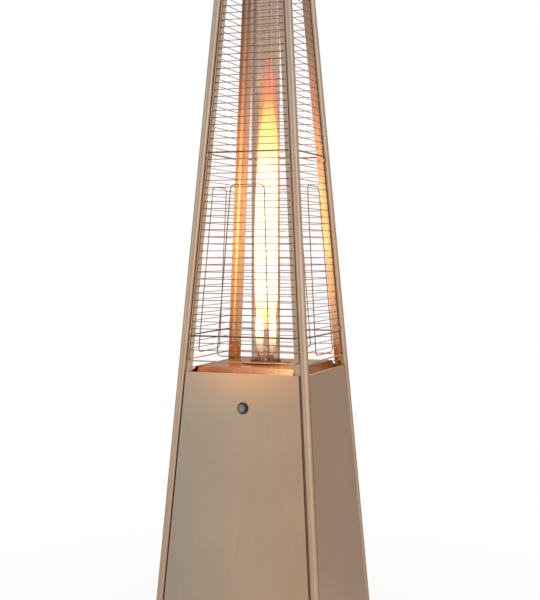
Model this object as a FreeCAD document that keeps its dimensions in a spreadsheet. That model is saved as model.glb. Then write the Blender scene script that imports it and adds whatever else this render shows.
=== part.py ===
import FreeCAD, Part
import math
import os
import re

import Sketcher
from FreeCAD import Placement, Rotation, Vector

# Square pyramid gas patio heater: a leaning four-post tower that holds a gas cylinder behind
# a hinged door, a burner deck, a glass flame tube, four wire guards and a reflector hood.
#
# The tower stands on z = 0 with its axis on Z. The front, with the control knob, faces -Y.
# Faces and corners are numbered anticlockwise from above: face 0 is the front, 1 the right,
# 2 the back and 3 the left; corner 0 is front right, 1 back right, 2 back left, 3 front left.

# Driving dimensions in millimetres. Heights are above the floor, and a "half" is a
# distance from the tower's axis.
SIZES = {
    # posts: a round bead with two flanges that lie in the leaning faces
    "post_foot": 40, "foot_half": 249.6, "top_half": 100.2, "bead_radius": 12.5, "bead_wall": 1.2,
    "flange_sheet": 1.5, "flange_margin": 6,
    # screws through the flanges
    "screw_offset": 11.5, "screw_radius": 2, "screw_clearance": 0.3, "head_lap": 1.8,
    "screw_head_height": 2.2, "foot_screw_rise": 42, "deck_screw_drop": 32, "deck_screw_rise": 36,
    "top_screw_drop": 22, "head_round": 0.6,
    # base tray, feet, cylinder ring
    "tray_margin": 2.9, "tray_sheet": 2, "tray_rim": 30,
    "foot_inset": 35.6, "foot_radius": 18, "foot_top_radius": 14, "foot_bolt_radius": 4,
    "foot_bolt_depth": 18, "foot_bolt_head": 8, "foot_bolt_head_height": 3,
    "ring_radius": 160, "ring_sheet": 1.5, "ring_height": 20, "ring_lip": 12,
    # wheels at the back
    "wheel_place": 180, "wheel_radius": 27, "wheel_lift": 4, "wheel_gap": 2.5, "axle_out": 10,
    "tyre_depth": 7, "tyre_width": 20, "tyre_shoulder": 2.3, "hub_width": 22, "hub_side_gap": 1,
    "hub_rim": 2.4, "web_recess": 6, "hub_wall": 4.92, "axle_radius": 4, "axle_clearance": 0.08,
    "notch_step": 2, "notch_gap": 1, "yoke_sheet": 2.5, "yoke_bottom": 16, "yoke_overhang": 9,
    "cap_wall": 3, "cap_length": 5, "cap_bore": 2.5, "cap_gap": 0.3,
    # brackets inside the posts
    "bracket_sheet": 2, "bracket_corner": 19, "tab_half_width": 7, "tab_bolt_edge": 9, "tab_sink": 0.25,
    "foot_bracket_rise": 60, "deck_bracket_drop": 49, "deck_bracket_rise": 49, "top_bracket_drop": 38,
    "deck_bolt_inset": 12, "top_bolt_inset": 24.2, "tab_bolt_radius": 2.5, "tab_bolt_head": 4.6,
    "tab_bolt_head_height": 2.8, "tab_bolt_end": 3,
    # lower panels: shallow pans whose inner lips lie on the flanges
    "panel_lift": 18, "panel_drop": 14.5, "panel_depth": 8.5, "panel_sheet": 1.2, "panel_gap": 3,
    "lip_margin": 4.7, "panel_screw_margin": 89, "panel_screw_reach": 6,
    # door, its hinge and its magnets
    "door_return": 6, "pin_radius": 1.5, "pin_clearance": 0.1, "pin_margin": 0.7,
    "pin_reach": 7, "ear_gap": 1.5, "ear_sheet": 2, "ear_front": 3, "leaf_left": 5, "leaf_right": 9,
    "leaf_height": 15, "washer_lap": 1.4, "washer_gap": 0.35,
    "magnet_inset": 3.5, "magnet_width": 8, "magnet_length": 26, "magnet_gap": 0.3, "magnet_margin": 70,
    # burner deck
    "deck_height": 844, "deck_sheet": 1.5, "deck_inset": 29.5, "deck_bevel": 18, "bevel_end": 10,
    "deck_hole_margin": 5,
    # tube seat and glass
    "seat_lap": 30, "seat_sheet": 2, "seat_ledge": 2.5, "seat_collar": 5, "gasket_width": 19,
    "gasket_inset": 3, "seat_gasket_height": 3, "collar_clearance": 1.5, "collar_sheet": 1.2,
    "glass_radius": 44, "glass_wall": 2.5, "glass_length": 1250, "glass_headroom": 11,
    # burner
    "cup_radius": 27, "cup_wall": 1.5, "cup_depth": 70, "cup_flange_lap": 8, "cup_flange_sheet": 2,
    "jet_clearance": 0.2, "head_gap": 1.5, "head_height": 26, "head_wall": 1, "head_sink": 6,
    "head_foot": 3, "port_width": 2.4, "port_height": 14, "port_count": 18, "port_margin": 3,
    # pilot set
    "pilot_gap": 6, "pilot_offset": 11, "pilot_clearance": 0.5, "pilot_spread": 18, "pilot_rise": 22,
    "pilot_radius": 3.2, "pilot_drop": 14, "pilot_hood": 5, "hood_wall": 1, "plate_depth": 8,
    "probe_radius": 2.4, "probe_rise": 30, "probe_drop": 12, "electrode_radius": 2.8,
    "spark_radius": 0.9, "spark_shoulder": 12, "lead_radius": 1.4, "lead_bend": 16, "lead_run": 35,
    # gas control, built square to the front face
    "knob_drop": 114, "knob_offset": 8, "knob_radius": 11.5, "knob_back": -2, "knob_front": 20,
    "knob_recess": 2.2, "knob_cap_radius": 6.5, "knob_grips": 12, "grip_radius": 1.1, "grip_depth": 0.6,
    "bezel_gap": 2.1, "bezel_wall": 2, "bezel_lap": 1.8, "bezel_rise": 1.2,
    "stem_radius": 4, "flat_cut": 1, "stem_clearance": 0.06, "stem_front": 14, "stem_grip": 8,
    "knob_push": 3, "plug_radius": 8, "plug_step": 12, "plug_sink": 0.5, "plug_room": 2,
    "boss_wall": 5, "boss_gap": 6, "valve_width": 42, "valve_height": 52, "valve_depth": 40,
    "valve_edge": 4, "plate_half": 30, "plate_drop": 40, "plate_sheet": 2,
    "plate_fall": 26.8, "plate_shelf": 31, "plate_tab": 20,
    # gas pipe, hose tail and tilt switch
    "outlet_wall": 3, "outlet_length": 12, "pipe_radius": 4, "pipe_wall": 1, "pipe_bend": 16,
    "pipe_climb": 27, "pipe_run": 34, "inlet_nut": 9, "inlet_nut_length": 12, "tail_radius": 5,
    "tail_length": 10, "barb_rise": 0.8, "barb_pitch": 5, "barb_count": 3, "barb_slope": 0.8,
    "barb_bore": 3.2, "switch_length": 34, "switch_width": 24, "switch_height": 20,
    "switch_left": 75, "switch_front": 95,
    # wire guards
    "guard_lift": 18, "guard_headroom": 6.3, "guard_gap": 0.8, "frame_wire": 2, "rung_wire": 1.1,
    "bar_wire": 2.4, "rung_pitch": 21.1, "end_gaps": 3, "first_bar": 2, "guard_corner": 12,
    "loop_wire": 1.5, "loop_bottom": 16.5, "loop_height": 508, "loop_bottom_half": 82,
    "loop_top_half": 53, "loop_corner": 15, "weld_depth": 0.4,
    "clip_length": 10, "clip_sheet": 1.4, "clip_margin": 5, "clip_gap": 0.5, "clip_screw_reach": 6,
    # top plate and hood
    "top_margin": 3, "top_sheet": 2, "top_rim": 14, "flue_step": 2, "collar_flange": 8.3,
    "collar_drop": 22, "nut_gap": 2.1, "standoff_wall": 3, "stud_radius": 3, "lower_rise": 104,
    "upper_rise": 46, "nut_wall": 3.5, "nut_height": 5, "nut_dome": 5, "hood_sheet": 1.2,
    "lower_half": 305, "lower_top_half": 110, "lower_fall": 52, "lower_vent": 50, "hood_lip": 12,
    "upper_half": 135, "upper_top_half": 62, "upper_fall": 34,
}

# Sizes and places that follow from the driving ones, so that pieces that meet keep meeting.
FITS = {
    # The posts lean inwards along straight lines, so every face is a plane: lean is how far a
    # post moves inwards per unit of height, rise is the height gained per unit up the face.
    "lean": "(foot_half - top_half) / (post_top - post_foot)",
    "rise": "cos(atan(lean))",
    "taper": "sin(atan(lean))",
    "screw_inset": "bead_radius + screw_offset",
    "flange_reach": "screw_inset + flange_margin",
    "screw_hole": "screw_radius + screw_clearance",
    "screw_head": "screw_radius + head_lap",
    "foot_screw": "post_foot + foot_screw_rise",
    "deck_screw_low": "deck_height - deck_screw_drop",
    "deck_screw_high": "deck_height + deck_screw_rise",
    "top_screw": "post_top - top_screw_drop",
    "panel_screw_low": "panel_bottom + panel_screw_margin",
    "panel_screw_mid": "(panel_bottom + panel_top) / 2",
    "panel_screw_high": "panel_top - panel_screw_margin",
    "tray_half": "foot_half + bead_radius + tray_margin",
    "tray_under": "post_foot - tray_sheet",
    "foot_place": "foot_half - foot_inset",
    "foot_bolt_hole": "foot_bolt_radius + screw_clearance",
    "hub_boss": "axle_radius + axle_clearance + hub_wall",
    "cap_radius": "axle_radius + cap_wall",
    "axle_back": "tray_half + axle_out",
    "axle_height": "wheel_lift + wheel_radius",
    "yoke_inner": "hub_width / 2 + hub_side_gap",
    "yoke_front": "axle_back - wheel_radius - wheel_gap - yoke_sheet",
    "cap_start": "wheel_place + yoke_inner + yoke_sheet + cap_gap",
    "foot_bracket_top": "post_foot + foot_bracket_rise",
    "deck_bracket_bottom": "deck_height - deck_bracket_drop",
    "deck_bracket_top": "deck_height + deck_bracket_rise",
    "top_bracket_bottom": "post_top - top_bracket_drop",
    "deck_tab_bolt": "deck_half - deck_bolt_inset",
    "top_tab_bolt": "top_half - top_bolt_inset",
    "tab_bolt_hole": "tab_bolt_radius + screw_clearance",
    "panel_bottom": "post_foot + panel_lift",
    "panel_top": "deck_height - panel_drop",
    "panel_length": "(panel_top - panel_bottom) / rise",
    "panel_lip": "screw_inset - bead_radius - panel_gap - panel_sheet + lip_margin",
    "pin_inset": "panel_sheet + pin_radius + pin_margin",
    "washer_radius": "pin_radius + washer_lap",
    "deck_under": "deck_height - deck_sheet",
    "deck_half": "foot_half - lean * (deck_height - post_foot) - deck_inset",
    "deck_bevel_half": "deck_half - bevel_end",
    "deck_hole": "pilot_place + deck_hole_margin",
    "seat_bottom": "deck_height + seat_gasket_height",
    "seat_radius": "glass_radius + seat_lap",
    "seat_hole": "glass_radius - glass_wall - seat_ledge",
    "seat_gasket_outer": "seat_radius - gasket_inset",
    "seat_gasket_inner": "seat_gasket_outer - gasket_width",
    "glass_bottom": "seat_bottom + seat_sheet",
    "collar_inner": "glass_radius + collar_clearance",
    "collar_outer": "collar_inner + collar_sheet",
    "post_top": "glass_bottom + glass_length + glass_headroom",
    "cup_flange": "deck_hole + cup_flange_lap",
    "jet_bore": "pipe_radius + jet_clearance",
    "head_radius": "cup_radius - cup_wall - head_gap",
    "pilot_place": "cup_radius + pilot_gap",
    "pilot_low": "deck_under - pilot_drop",
    "knob_height": "deck_height - knob_drop",
    "bezel_inner": "knob_radius + bezel_gap",
    "bezel_hole": "bezel_inner + bezel_wall",
    "bezel_outer": "bezel_hole + bezel_lap",
    "stem_flat": "stem_radius - flat_cut",
    "boss_radius": "stem_radius + boss_wall",
    "valve_front": "knob_back - boss_gap",
    "valve_middle": "valve_front - valve_depth / 2",
    "valve_back": "valve_front - valve_depth",
    "plug_front": "valve_front - plug_step",
    "deck_up": "(deck_under - knob_height) / rise",
    "plate_rise": "deck_up - plate_fall",
    "outlet_radius": "pipe_radius + outlet_wall",
    "pipe_bore": "pipe_radius - pipe_wall",
    "barb_ridge": "tail_radius + barb_rise",
    "guard_bottom": "deck_height + guard_lift",
    "guard_length": "(post_top - guard_headroom - guard_bottom) / rise",
    "rung_count": "floor(guard_length / rung_pitch - end_gaps + 0.5) + 1",
    "end_space": "(guard_length - rung_pitch * (rung_count - 1)) / 2",
    "middle_bar": "floor((rung_count - 1) / 2)",
    "last_bar": "rung_count - 1 - first_bar",
    "clip_back": "screw_inset + clip_margin",
    "top_outer": "top_half + bead_radius + top_margin + top_sheet",
    "flue_radius": "glass_radius - flue_step",
    "flange_ring": "collar_outer + collar_flange",
    "nut_radius": "stud_radius + nut_wall",
    "standoff_radius": "stud_radius + standoff_wall",
    "standoff_place": "(flange_ring + nut_radius + nut_gap) / sqrt(2)",
    "hood_lower": "post_top + top_sheet + lower_rise",
    "hood_upper": "hood_lower + hood_sheet + upper_rise",
}

CORNERS = ("front_right", "back_right", "back_left", "front_left")
FACES = ("front", "right", "back", "left")

doc = FreeCAD.newDocument("PatioHeater")
sheet = doc.addObject("Spreadsheet::Sheet", "Sizes")
for row, (alias, size) in enumerate(SIZES.items(), 1):
    sheet.set(f"A{row}", alias)
    sheet.set(f"B{row}", str(size))
    sheet.setAlias(f"B{row}", alias)
doc.recompute()

parts = {}


def worked_out(expression):
    """The expression with each fitted size replaced by what it follows from."""
    def unfold(word):
        name = word[0]
        return f"({worked_out(FITS[name])})" if name in FITS else name

    return re.sub(r"[a-z_]+", unfold, expression)


def bound(expression):
    """The worked-out expression with every alias read from the sheet."""
    def read(word):
        name = word[0]
        return f"Sizes.{name}" if name in SIZES else name

    return re.sub(r"[a-z_]+", read, worked_out(expression))


def number(expression):
    return float(sheet.evalExpression(bound(expression)))


def half_at(height):
    """Distance from the axis to the flanges' middle plane at a height."""
    return f"(foot_half - lean * ({height} - post_foot))"


# ---- FreeCAD helpers --------------------------------------------------------------------

def new_body(label, placement=Placement()):
    body = doc.addObject("PartDesign::Body", label)
    body.Label = label
    body.Placement = placement
    parts[label] = body
    return body


def new_feature(label, shape, placement=Placement()):
    feature = doc.addObject("Part::Feature", label)
    feature.Label = label
    feature.Shape = shape
    feature.Placement = placement
    parts[label] = feature
    return feature


def new_sketch(body, plane, level="0"):
    """A sketch on one of the body's origin planes, raised along the plane's normal."""
    base = next(item for item in body.Origin.OriginFeatures if item.Role == plane)
    item = body.newObject("Sketcher::SketchObject", f"{body.Name}_sketch")
    item.AttachmentSupport = (base, [""])
    item.MapMode = "FlatFace"
    item.setExpression("AttachmentOffset.Base.z", bound(level))
    return item


def bind_point(item, curve, end, x, y):
    for kind, expression in (("DistanceX", x), ("DistanceY", y)):
        index = item.addConstraint(Sketcher.Constraint(kind, -1, 1, curve, end, number(expression)))
        item.setExpression(f"Constraints[{index}]", bound(expression))


def draw_polygon(item, corners):
    """A closed outline through corners given as pairs of expressions."""
    first = item.GeometryCount
    count = len(corners)
    places = [Vector(number(x), number(y), 0) for x, y in corners]
    for index in range(count):
        item.addGeometry(Part.LineSegment(places[index], places[(index + 1) % count]), False)
    for index in range(count):
        following = first + (index + 1) % count
        item.addConstraint(Sketcher.Constraint("Coincident", first + index, 2, following, 1))
    for index, (x, y) in enumerate(corners):
        bind_point(item, first + index, 1, x, y)


def draw_box(item, left, right, low, high):
    draw_polygon(item, [(left, low), (right, low), (right, high), (left, high)])


def draw_square(item, half):
    draw_box(item, f"-({half})", half, f"-({half})", half)


def draw_circle(item, radius, x="0", y="0"):
    centre = Vector(number(x), number(y), 0)
    curve = item.addGeometry(Part.Circle(centre, Vector(0, 0, 1), number(radius)), False)
    bind_point(item, curve, 3, x, y)
    index = item.addConstraint(Sketcher.Constraint("Radius", curve, number(radius)))
    item.setExpression(f"Constraints[{index}]", bound(radius))


def pad(body, item, length, down=False, slant=None):
    """Extrudes a sketch, along its normal or along a slanted direction of that height."""
    feature = body.newObject("PartDesign::Pad", f"{body.Name}_pad")
    feature.Profile = item
    feature.setExpression("Length", bound(length))
    feature.Reversed = down
    if slant:
        feature.UseCustomVector = True
        feature.AlongSketchNormal = True
        feature.Direction = Vector(-1, 1, 1)
        feature.setExpression("Direction.x", bound(f"-({slant})"))
        feature.setExpression("Direction.y", bound(slant))
    item.Visibility = False
    body.Tip = feature
    return feature


def cut(body, item, length=None, up=False):
    """Pockets a sketch to a depth, or both ways through everything when no depth is given."""
    doc.recompute()
    before = body.Shape.Volume
    feature = body.newObject("PartDesign::Pocket", f"{body.Name}_pocket")
    feature.Profile = item
    if length is None:
        feature.SideType = "Symmetric"
        feature.Type = "ThroughAll"
    else:
        feature.setExpression("Length", bound(length))
        feature.Reversed = up
    item.Visibility = False
    body.Tip = feature
    doc.recompute()
    if before - body.Shape.Volume < 0.01:
        raise RuntimeError(f"a pocket in {body.Label} cuts nothing")
    return feature


def revolve(label, outlines, placement=Placement()):
    """A body turned about its own Z axis from outlines of (radius, height) expressions."""
    body = new_body(label, placement)
    item = new_sketch(body, "XZ_Plane")
    for outline in outlines:
        draw_polygon(item, outline)
    feature = body.newObject("PartDesign::Revolution", f"{label}_turn")
    feature.Profile = item
    feature.ReferenceAxis = (item, ["V_Axis"])
    feature.Angle = 360
    item.Visibility = False
    body.Tip = feature
    return body


def at_height(height, x="0", y="0"):
    return Placement(Vector(number(x), number(y), number(height)), Rotation())


def turned(quarter):
    """A quarter turn about the tower's axis for each face or corner."""
    return Placement(Vector(), Rotation(Vector(0, 0, 1), 90 * quarter))


def face_frame(quarter, height, across="0"):
    """A frame on a face: X across it, Y up the slope, Z outwards, z = 0 on the flanges' front."""
    start = Vector(number(across), -number(f"{half_at(height)} + flange_sheet / 2"), number(height))
    lean = Rotation(Vector(1, 0, 0), 90 - math.degrees(math.atan(number("lean"))))
    return turned(quarter).multiply(Placement(start, lean))


def edge_frame(quarter, side, height, inset):
    """A frame on a flange: Y runs up along the post, side is +1 or -1 across the face."""
    reach = f"{side} * ({half_at(height)} - ({inset}))"
    along = Rotation(Vector(0, 0, 1), side * math.degrees(math.atan(number("taper"))))
    return face_frame(quarter, height, reach).multiply(Placement(Vector(), along))


def disc(radius, bottom, top):
    """A round solid about Z between two heights, in millimetres."""
    return Part.makeCylinder(radius, top - bottom, Vector(0, 0, bottom))


def screw(head_radius, head_height, shank_radius, reach):
    """A pan-head screw about Z: the head's seat at z = 0, the shank below it."""
    head = disc(head_radius, 0, head_height)
    rim = [edge for edge in head.Edges if edge.BoundBox.ZMin > head_height / 2]
    head = head.makeFillet(head_height * number("head_round"), rim)
    return head.fuse(disc(shank_radius, -reach, 0)).removeSplitter()


def place_all(shape, placements):
    """A group of separate copies of one solid."""
    copies = []
    for placement in placements:
        copy = shape.copy()
        copy.Placement = placement
        copies.append(copy)
    return copies


# ---- Posts ------------------------------------------------------------------------------

FLANGE_SCREWS = ["foot_screw", "panel_screw_low", "panel_screw_mid", "panel_screw_high",
                 "deck_screw_low", "deck_screw_high", "top_screw"]


def clip_height(gap):
    """Height of the middle of a gap between two rungs, counted from the lowest."""
    return f"(guard_bottom + rise * (end_space + rung_pitch * ({gap} + 0.5)))"


CLIP_HEIGHTS = [clip_height(gap) for gap in ("first_bar", "middle_bar - 1", "last_bar")]


def drill_flanges(body, foot, heights, inset, radius):
    """Holes through both flanges of a corner piece whose own z = 0 is at foot."""
    front = new_sketch(body, "XZ_Plane")
    side = new_sketch(body, "YZ_Plane")
    for height in heights:
        across = f"{half_at(height)} - {inset}"
        draw_circle(front, radius, across, f"{height} - {foot}")
        draw_circle(side, radius, f"-({across})", f"{height} - {foot}")
    cut(body, front)
    cut(body, side)


def make_post(quarter):
    body = new_body(f"post_{CORNERS[quarter]}", turned(quarter).multiply(at_height("post_foot")))
    height = "post_top - post_foot"
    bead = new_sketch(body, "XY_Plane")
    draw_circle(bead, "bead_radius", "foot_half", "-foot_half")
    draw_circle(bead, "bead_radius - bead_wall", "foot_half", "-foot_half")
    pad(body, bead, height, slant="lean")
    near = "foot_half - bead_radius + bead_wall / 2"
    tip = "foot_half - flange_reach"
    inner = "foot_half - flange_sheet / 2"
    outer = "foot_half + flange_sheet / 2"
    front = new_sketch(body, "XY_Plane")
    draw_box(front, tip, near, f"-({outer})", f"-({inner})")
    pad(body, front, height, slant="lean")
    side = new_sketch(body, "XY_Plane")
    draw_box(side, inner, outer, f"-({near})", f"-({tip})")
    pad(body, side, height, slant="lean")
    drill_flanges(body, "post_foot", FLANGE_SCREWS + CLIP_HEIGHTS, "screw_inset", "screw_hole")


for quarter in range(4):
    make_post(quarter)


# ---- Corner brackets: a hat section behind the bead with one bolted tab -------------------

def corner_bracket(label, quarter, bottom, top, tab_bottom, tab_bolt, hole_radius, heights):
    """Leaves lie on both flanges' inner sides, and the tab points at the tower's axis."""
    body = new_body(label, turned(quarter).multiply(at_height(bottom)))
    half = half_at(bottom)
    skin = "flange_sheet / 2"
    inner = f"({skin} + bracket_sheet)"
    bend = "(bracket_corner + bracket_sheet * (sqrt(2) - 1))"
    hat = new_sketch(body, "XY_Plane")
    draw_polygon(hat, [
        (f"{half} - flange_reach", f"{skin} - {half}"), (f"{half} - bracket_corner", f"{skin} - {half}"),
        (f"{half} - {skin}", f"bracket_corner - {half}"), (f"{half} - {skin}", f"flange_reach - {half}"),
        (f"{half} - {inner}", f"flange_reach - {half}"), (f"{half} - {inner}", f"{bend} - {half}"),
        (f"{half} - {bend}", f"{inner} - {half}"), (f"{half} - flange_reach", f"{inner} - {half}")])
    pad(body, hat, f"{top} - {bottom}", slant="lean")
    middle = f"(bracket_corner + {skin} + bracket_sheet) / 2"
    start = f"({half_at(tab_bottom)} - {middle} - tab_sink)"
    end = f"({tab_bolt} - tab_bolt_edge / sqrt(2))"
    wide = "tab_half_width / sqrt(2)"
    tab = new_sketch(body, "XY_Plane", f"{tab_bottom} - {bottom}")
    draw_polygon(tab, [
        (f"{start} - {wide}", f"-{start} - {wide}"), (f"{start} + {wide}", f"{wide} - {start}"),
        (f"{end} + {wide}", f"{wide} - {end}"), (f"{end} - {wide}", f"-{end} - {wide}")])
    pad(body, tab, "bracket_sheet")
    hole = new_sketch(body, "XY_Plane", f"{tab_bottom} - {bottom}")
    draw_circle(hole, hole_radius, tab_bolt, f"-{tab_bolt}")
    cut(body, hole, "bracket_sheet", up=True)
    drill_flanges(body, bottom, heights, "screw_inset", "screw_hole")
    return body


for quarter in range(4):
    corner_bracket(f"deck_bracket_{CORNERS[quarter]}", quarter, "deck_bracket_bottom", "deck_bracket_top",
                   "(deck_under - bracket_sheet)", "deck_tab_bolt", "tab_bolt_hole",
                   ["deck_screw_low", "deck_screw_high"])


def group_of(label, master, places):
    """Identical copies of a body, as separate solids of one node."""
    master.Label = f"{label}_master"
    del parts[label]
    doc.recompute()
    new_feature(label, Part.makeCompound(place_all(master.Shape, places)))


def bracket_group(label, bottom, top, tab_bottom, tab_bolt, hole_radius, heights):
    """Four identical brackets, one inside each post."""
    master = corner_bracket(label, 0, bottom, top, tab_bottom, tab_bolt, hole_radius, heights)
    group_of(label, master, [turned(quarter).multiply(at_height(bottom)) for quarter in range(4)])


bracket_group("foot_brackets", "post_foot", "foot_bracket_top", "post_foot",
              "foot_place", "foot_bolt_hole", ["foot_screw"])
bracket_group("top_brackets", "top_bracket_bottom", "post_top", "(post_top - bracket_sheet)",
              "top_tab_bolt", "tab_bolt_hole", ["top_screw"])


# ---- Base tray, feet and cylinder ring ----------------------------------------------------


def make_tray():
    """A flat tray with a turned-down rim, notched at the back for the two wheels."""
    body = new_body("base_tray", at_height("post_foot - tray_rim"))
    outline = new_sketch(body, "XY_Plane")
    draw_square(outline, "tray_half")
    pad(body, outline, "tray_rim")
    hollow = new_sketch(body, "XY_Plane")
    draw_square(hollow, "tray_half - tray_sheet")
    cut(body, hollow, "tray_rim - tray_sheet", up=True)
    holes = new_sketch(body, "XY_Plane")
    for x in ("", "-"):
        for y in ("", "-"):
            draw_circle(holes, "foot_bolt_hole", f"{x}foot_place", f"{y}foot_place")
    wide = "(yoke_inner + yoke_sheet + notch_gap)"
    start = "yoke_front + yoke_sheet + notch_step"
    for side in ("", "-"):
        draw_box(holes, f"{side}wheel_place - {wide}", f"{side}wheel_place + {wide}", start,
                 "tray_half + notch_gap")
    cut(body, holes)


make_tray()


def four_corners(place, height):
    """Upright frames at the four corners of a square."""
    return [turned(quarter).multiply(at_height(height, place, f"-{place}")) for quarter in range(4)]


def make_feet():
    """Tapered rubber buffers under the tray, each drilled for its bolt."""
    height = number("tray_under")
    foot = Part.makeCone(number("foot_radius"), number("foot_top_radius"), height)
    bore = disc(number("foot_bolt_radius"), height - number("foot_bolt_depth"), height)
    feet = place_all(foot.cut(bore), four_corners("foot_place", "0"))
    new_feature("rubber_feet", Part.makeCompound(feet))
    bolt = screw(number("foot_bolt_head"), number("foot_bolt_head_height"), number("foot_bolt_radius"),
                 number("bracket_sheet + tray_sheet + foot_bolt_depth"))
    places = four_corners("foot_place", "post_foot + bracket_sheet")
    new_feature("foot_bolts", Part.makeCompound(place_all(bolt, places)))


make_feet()

revolve("cylinder_ring", [[
    ("ring_radius", "0"), ("ring_radius + ring_lip", "0"), ("ring_radius + ring_lip", "ring_sheet"),
    ("ring_radius + ring_sheet", "ring_sheet"), ("ring_radius + ring_sheet", "ring_height"),
    ("ring_radius", "ring_height")]], at_height("post_foot"))


# ---- Wheels -------------------------------------------------------------------------------

def make_yokes():
    """U-shaped yokes under the tray whose cheeks hold the axle on both sides of a wheel."""
    body = new_body("wheel_yokes")
    outer = "(yoke_inner + yoke_sheet)"
    reach = "(axle_back - yoke_front + yoke_overhang)"
    shape = new_sketch(body, "XY_Plane")
    draw_polygon(shape, [
        (f"-{outer}", "0"), (outer, "0"), (outer, reach), ("yoke_inner", reach),
        ("yoke_inner", "yoke_sheet"), ("-yoke_inner", "yoke_sheet"), ("-yoke_inner", reach),
        (f"-{outer}", reach)])
    pad(body, shape, "tray_under - yoke_bottom")
    hole = new_sketch(body, "YZ_Plane")
    draw_circle(hole, "axle_radius", "axle_back - yoke_front", "axle_height - yoke_bottom")
    cut(body, hole)
    places = [at_height("yoke_bottom", f"{side}wheel_place", "yoke_front") for side in ("-", "")]
    group_of("wheel_yokes", body, places)


make_yokes()


def axle_frame(across):
    """A frame on the axle whose Z runs to the right along it."""
    place = Vector(number(across), number("axle_back"), number("axle_height"))
    return Placement(place, Rotation(Vector(0, 1, 0), 90))


def make_wheel(label, side):
    frame = axle_frame(f"{side} * wheel_place")
    bore = "axle_radius + axle_clearance"
    rim = "wheel_radius - tyre_depth"
    inside = f"{rim} - hub_rim"
    web = "hub_width / 2 - web_recess"
    revolve(f"wheel_{label}", [[
        (bore, "-hub_width / 2"), ("hub_boss", "-hub_width / 2"), ("hub_boss", f"-({web})"),
        (inside, f"-({web})"), (inside, "-tyre_width / 2"), (rim, "-tyre_width / 2"),
        (rim, "tyre_width / 2"), (inside, "tyre_width / 2"), (inside, web), ("hub_boss", web),
        ("hub_boss", "hub_width / 2"), (bore, "hub_width / 2")]], frame)
    crown = "wheel_radius - tyre_shoulder"
    tread = "tyre_width / 2 - tyre_shoulder"
    revolve(f"tyre_{label}", [[
        (rim, "-tyre_width / 2"), (crown, "-tyre_width / 2"), ("wheel_radius", f"-({tread})"),
        ("wheel_radius", tread), (crown, "tyre_width / 2"), (rim, "tyre_width / 2")]], frame)


make_wheel("left", -1)
make_wheel("right", 1)


def make_axle():
    axle = doc.addObject("Part::Cylinder", "wheel_axle")
    axle.Label = "wheel_axle"
    axle.setExpression("Radius", bound("axle_radius"))
    axle.setExpression("Height", bound("2 * (cap_start + cap_bore)"))
    axle.Placement = axle_frame("-cap_start - cap_bore")
    parts["wheel_axle"] = axle
    cap = disc(number("cap_radius"), 0, number("cap_length"))
    cap = cap.cut(disc(number("axle_radius"), 0, number("cap_bore")))
    left = axle_frame("-cap_start").multiply(Placement(Vector(), Rotation(Vector(1, 0, 0), 180)))
    new_feature("axle_caps", Part.makeCompound(place_all(cap, [axle_frame("cap_start"), left])))


make_axle()


# ---- Lower panels and door ----------------------------------------------------------------


def panel_half(up="0", inset="0"):
    """Half the panel's width at a distance up the face, less an inset."""
    return f"({half_at('panel_bottom')} - taper * ({up}) - bead_radius - panel_gap - ({inset}))"


def draw_trapezium(item, inset):
    """The panel's outline, drawn in from its four edges by an inset."""
    high = f"(panel_length - ({inset}))"
    low_half = panel_half(inset, inset)
    high_half = panel_half(high, inset)
    draw_polygon(item, [(f"-{low_half}", inset), (low_half, inset), (high_half, high),
                        (f"-{high_half}", high)])


def make_pan(label, quarter, back):
    """A pan of folded sheet: its face is outwards and its returns reach in to back."""
    body = new_body(label, face_frame(quarter, "panel_bottom"))
    outline = new_sketch(body, "XY_Plane", back)
    draw_trapezium(outline, "0")
    pad(body, outline, f"panel_depth - {back}")
    hollow = new_sketch(body, "XY_Plane", back)
    draw_trapezium(hollow, "panel_sheet")
    cut(body, hollow, f"panel_depth - panel_sheet - {back}", up=True)
    return body


def up_the_face(height):
    return f"(({height} - panel_bottom) / rise)"


def make_panel(label, quarter):
    body = make_pan(label, quarter, "0")
    lips = new_sketch(body, "XY_Plane")
    draw_trapezium(lips, "panel_sheet / 2")
    draw_trapezium(lips, "panel_sheet + panel_lip")
    pad(body, lips, "panel_sheet")
    holes = new_sketch(body, "XY_Plane")
    for height in ("panel_screw_low", "panel_screw_mid", "panel_screw_high"):
        across = f"{half_at(height)} - screw_inset"
        draw_circle(holes, "screw_hole", across, up_the_face(height))
        draw_circle(holes, "screw_hole", f"-({across})", up_the_face(height))
    cut(body, holes, "panel_sheet", up=True)


for quarter in (1, 2, 3):
    make_panel(f"{FACES[quarter]}_panel", quarter)


def make_door():
    """The front panel, which opens as a door and lets the control knob through."""
    body = make_pan("front_door", 0, "(panel_depth - door_return)")
    window = new_sketch(body, "XY_Plane")
    draw_circle(window, "bezel_hole", "knob_offset", up_the_face("knob_height"))
    cut(body, window, "panel_depth", up=True)
    for up, upwards in (("0", True), ("panel_length", False)):
        hole = new_sketch(body, "XZ_Plane", f"-({up})")
        draw_circle(hole, "pin_radius + pin_clearance", f"pin_inset - {panel_half(up)}",
                    "panel_depth - pin_inset")
        cut(body, hole, "2 * panel_sheet", up=not upwards)


make_door()


def hinge_frame(up):
    """A frame on the hinge axis: Y runs up the axis, z = 0 on the axis."""
    place = Vector(number(f"pin_inset - {panel_half(up)}"), number(up), number("panel_depth - pin_inset"))
    along = Rotation(Vector(0, 0, 1), -math.degrees(math.atan(number("taper"))))
    return face_frame(0, "panel_bottom").multiply(Placement(place, along))


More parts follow.
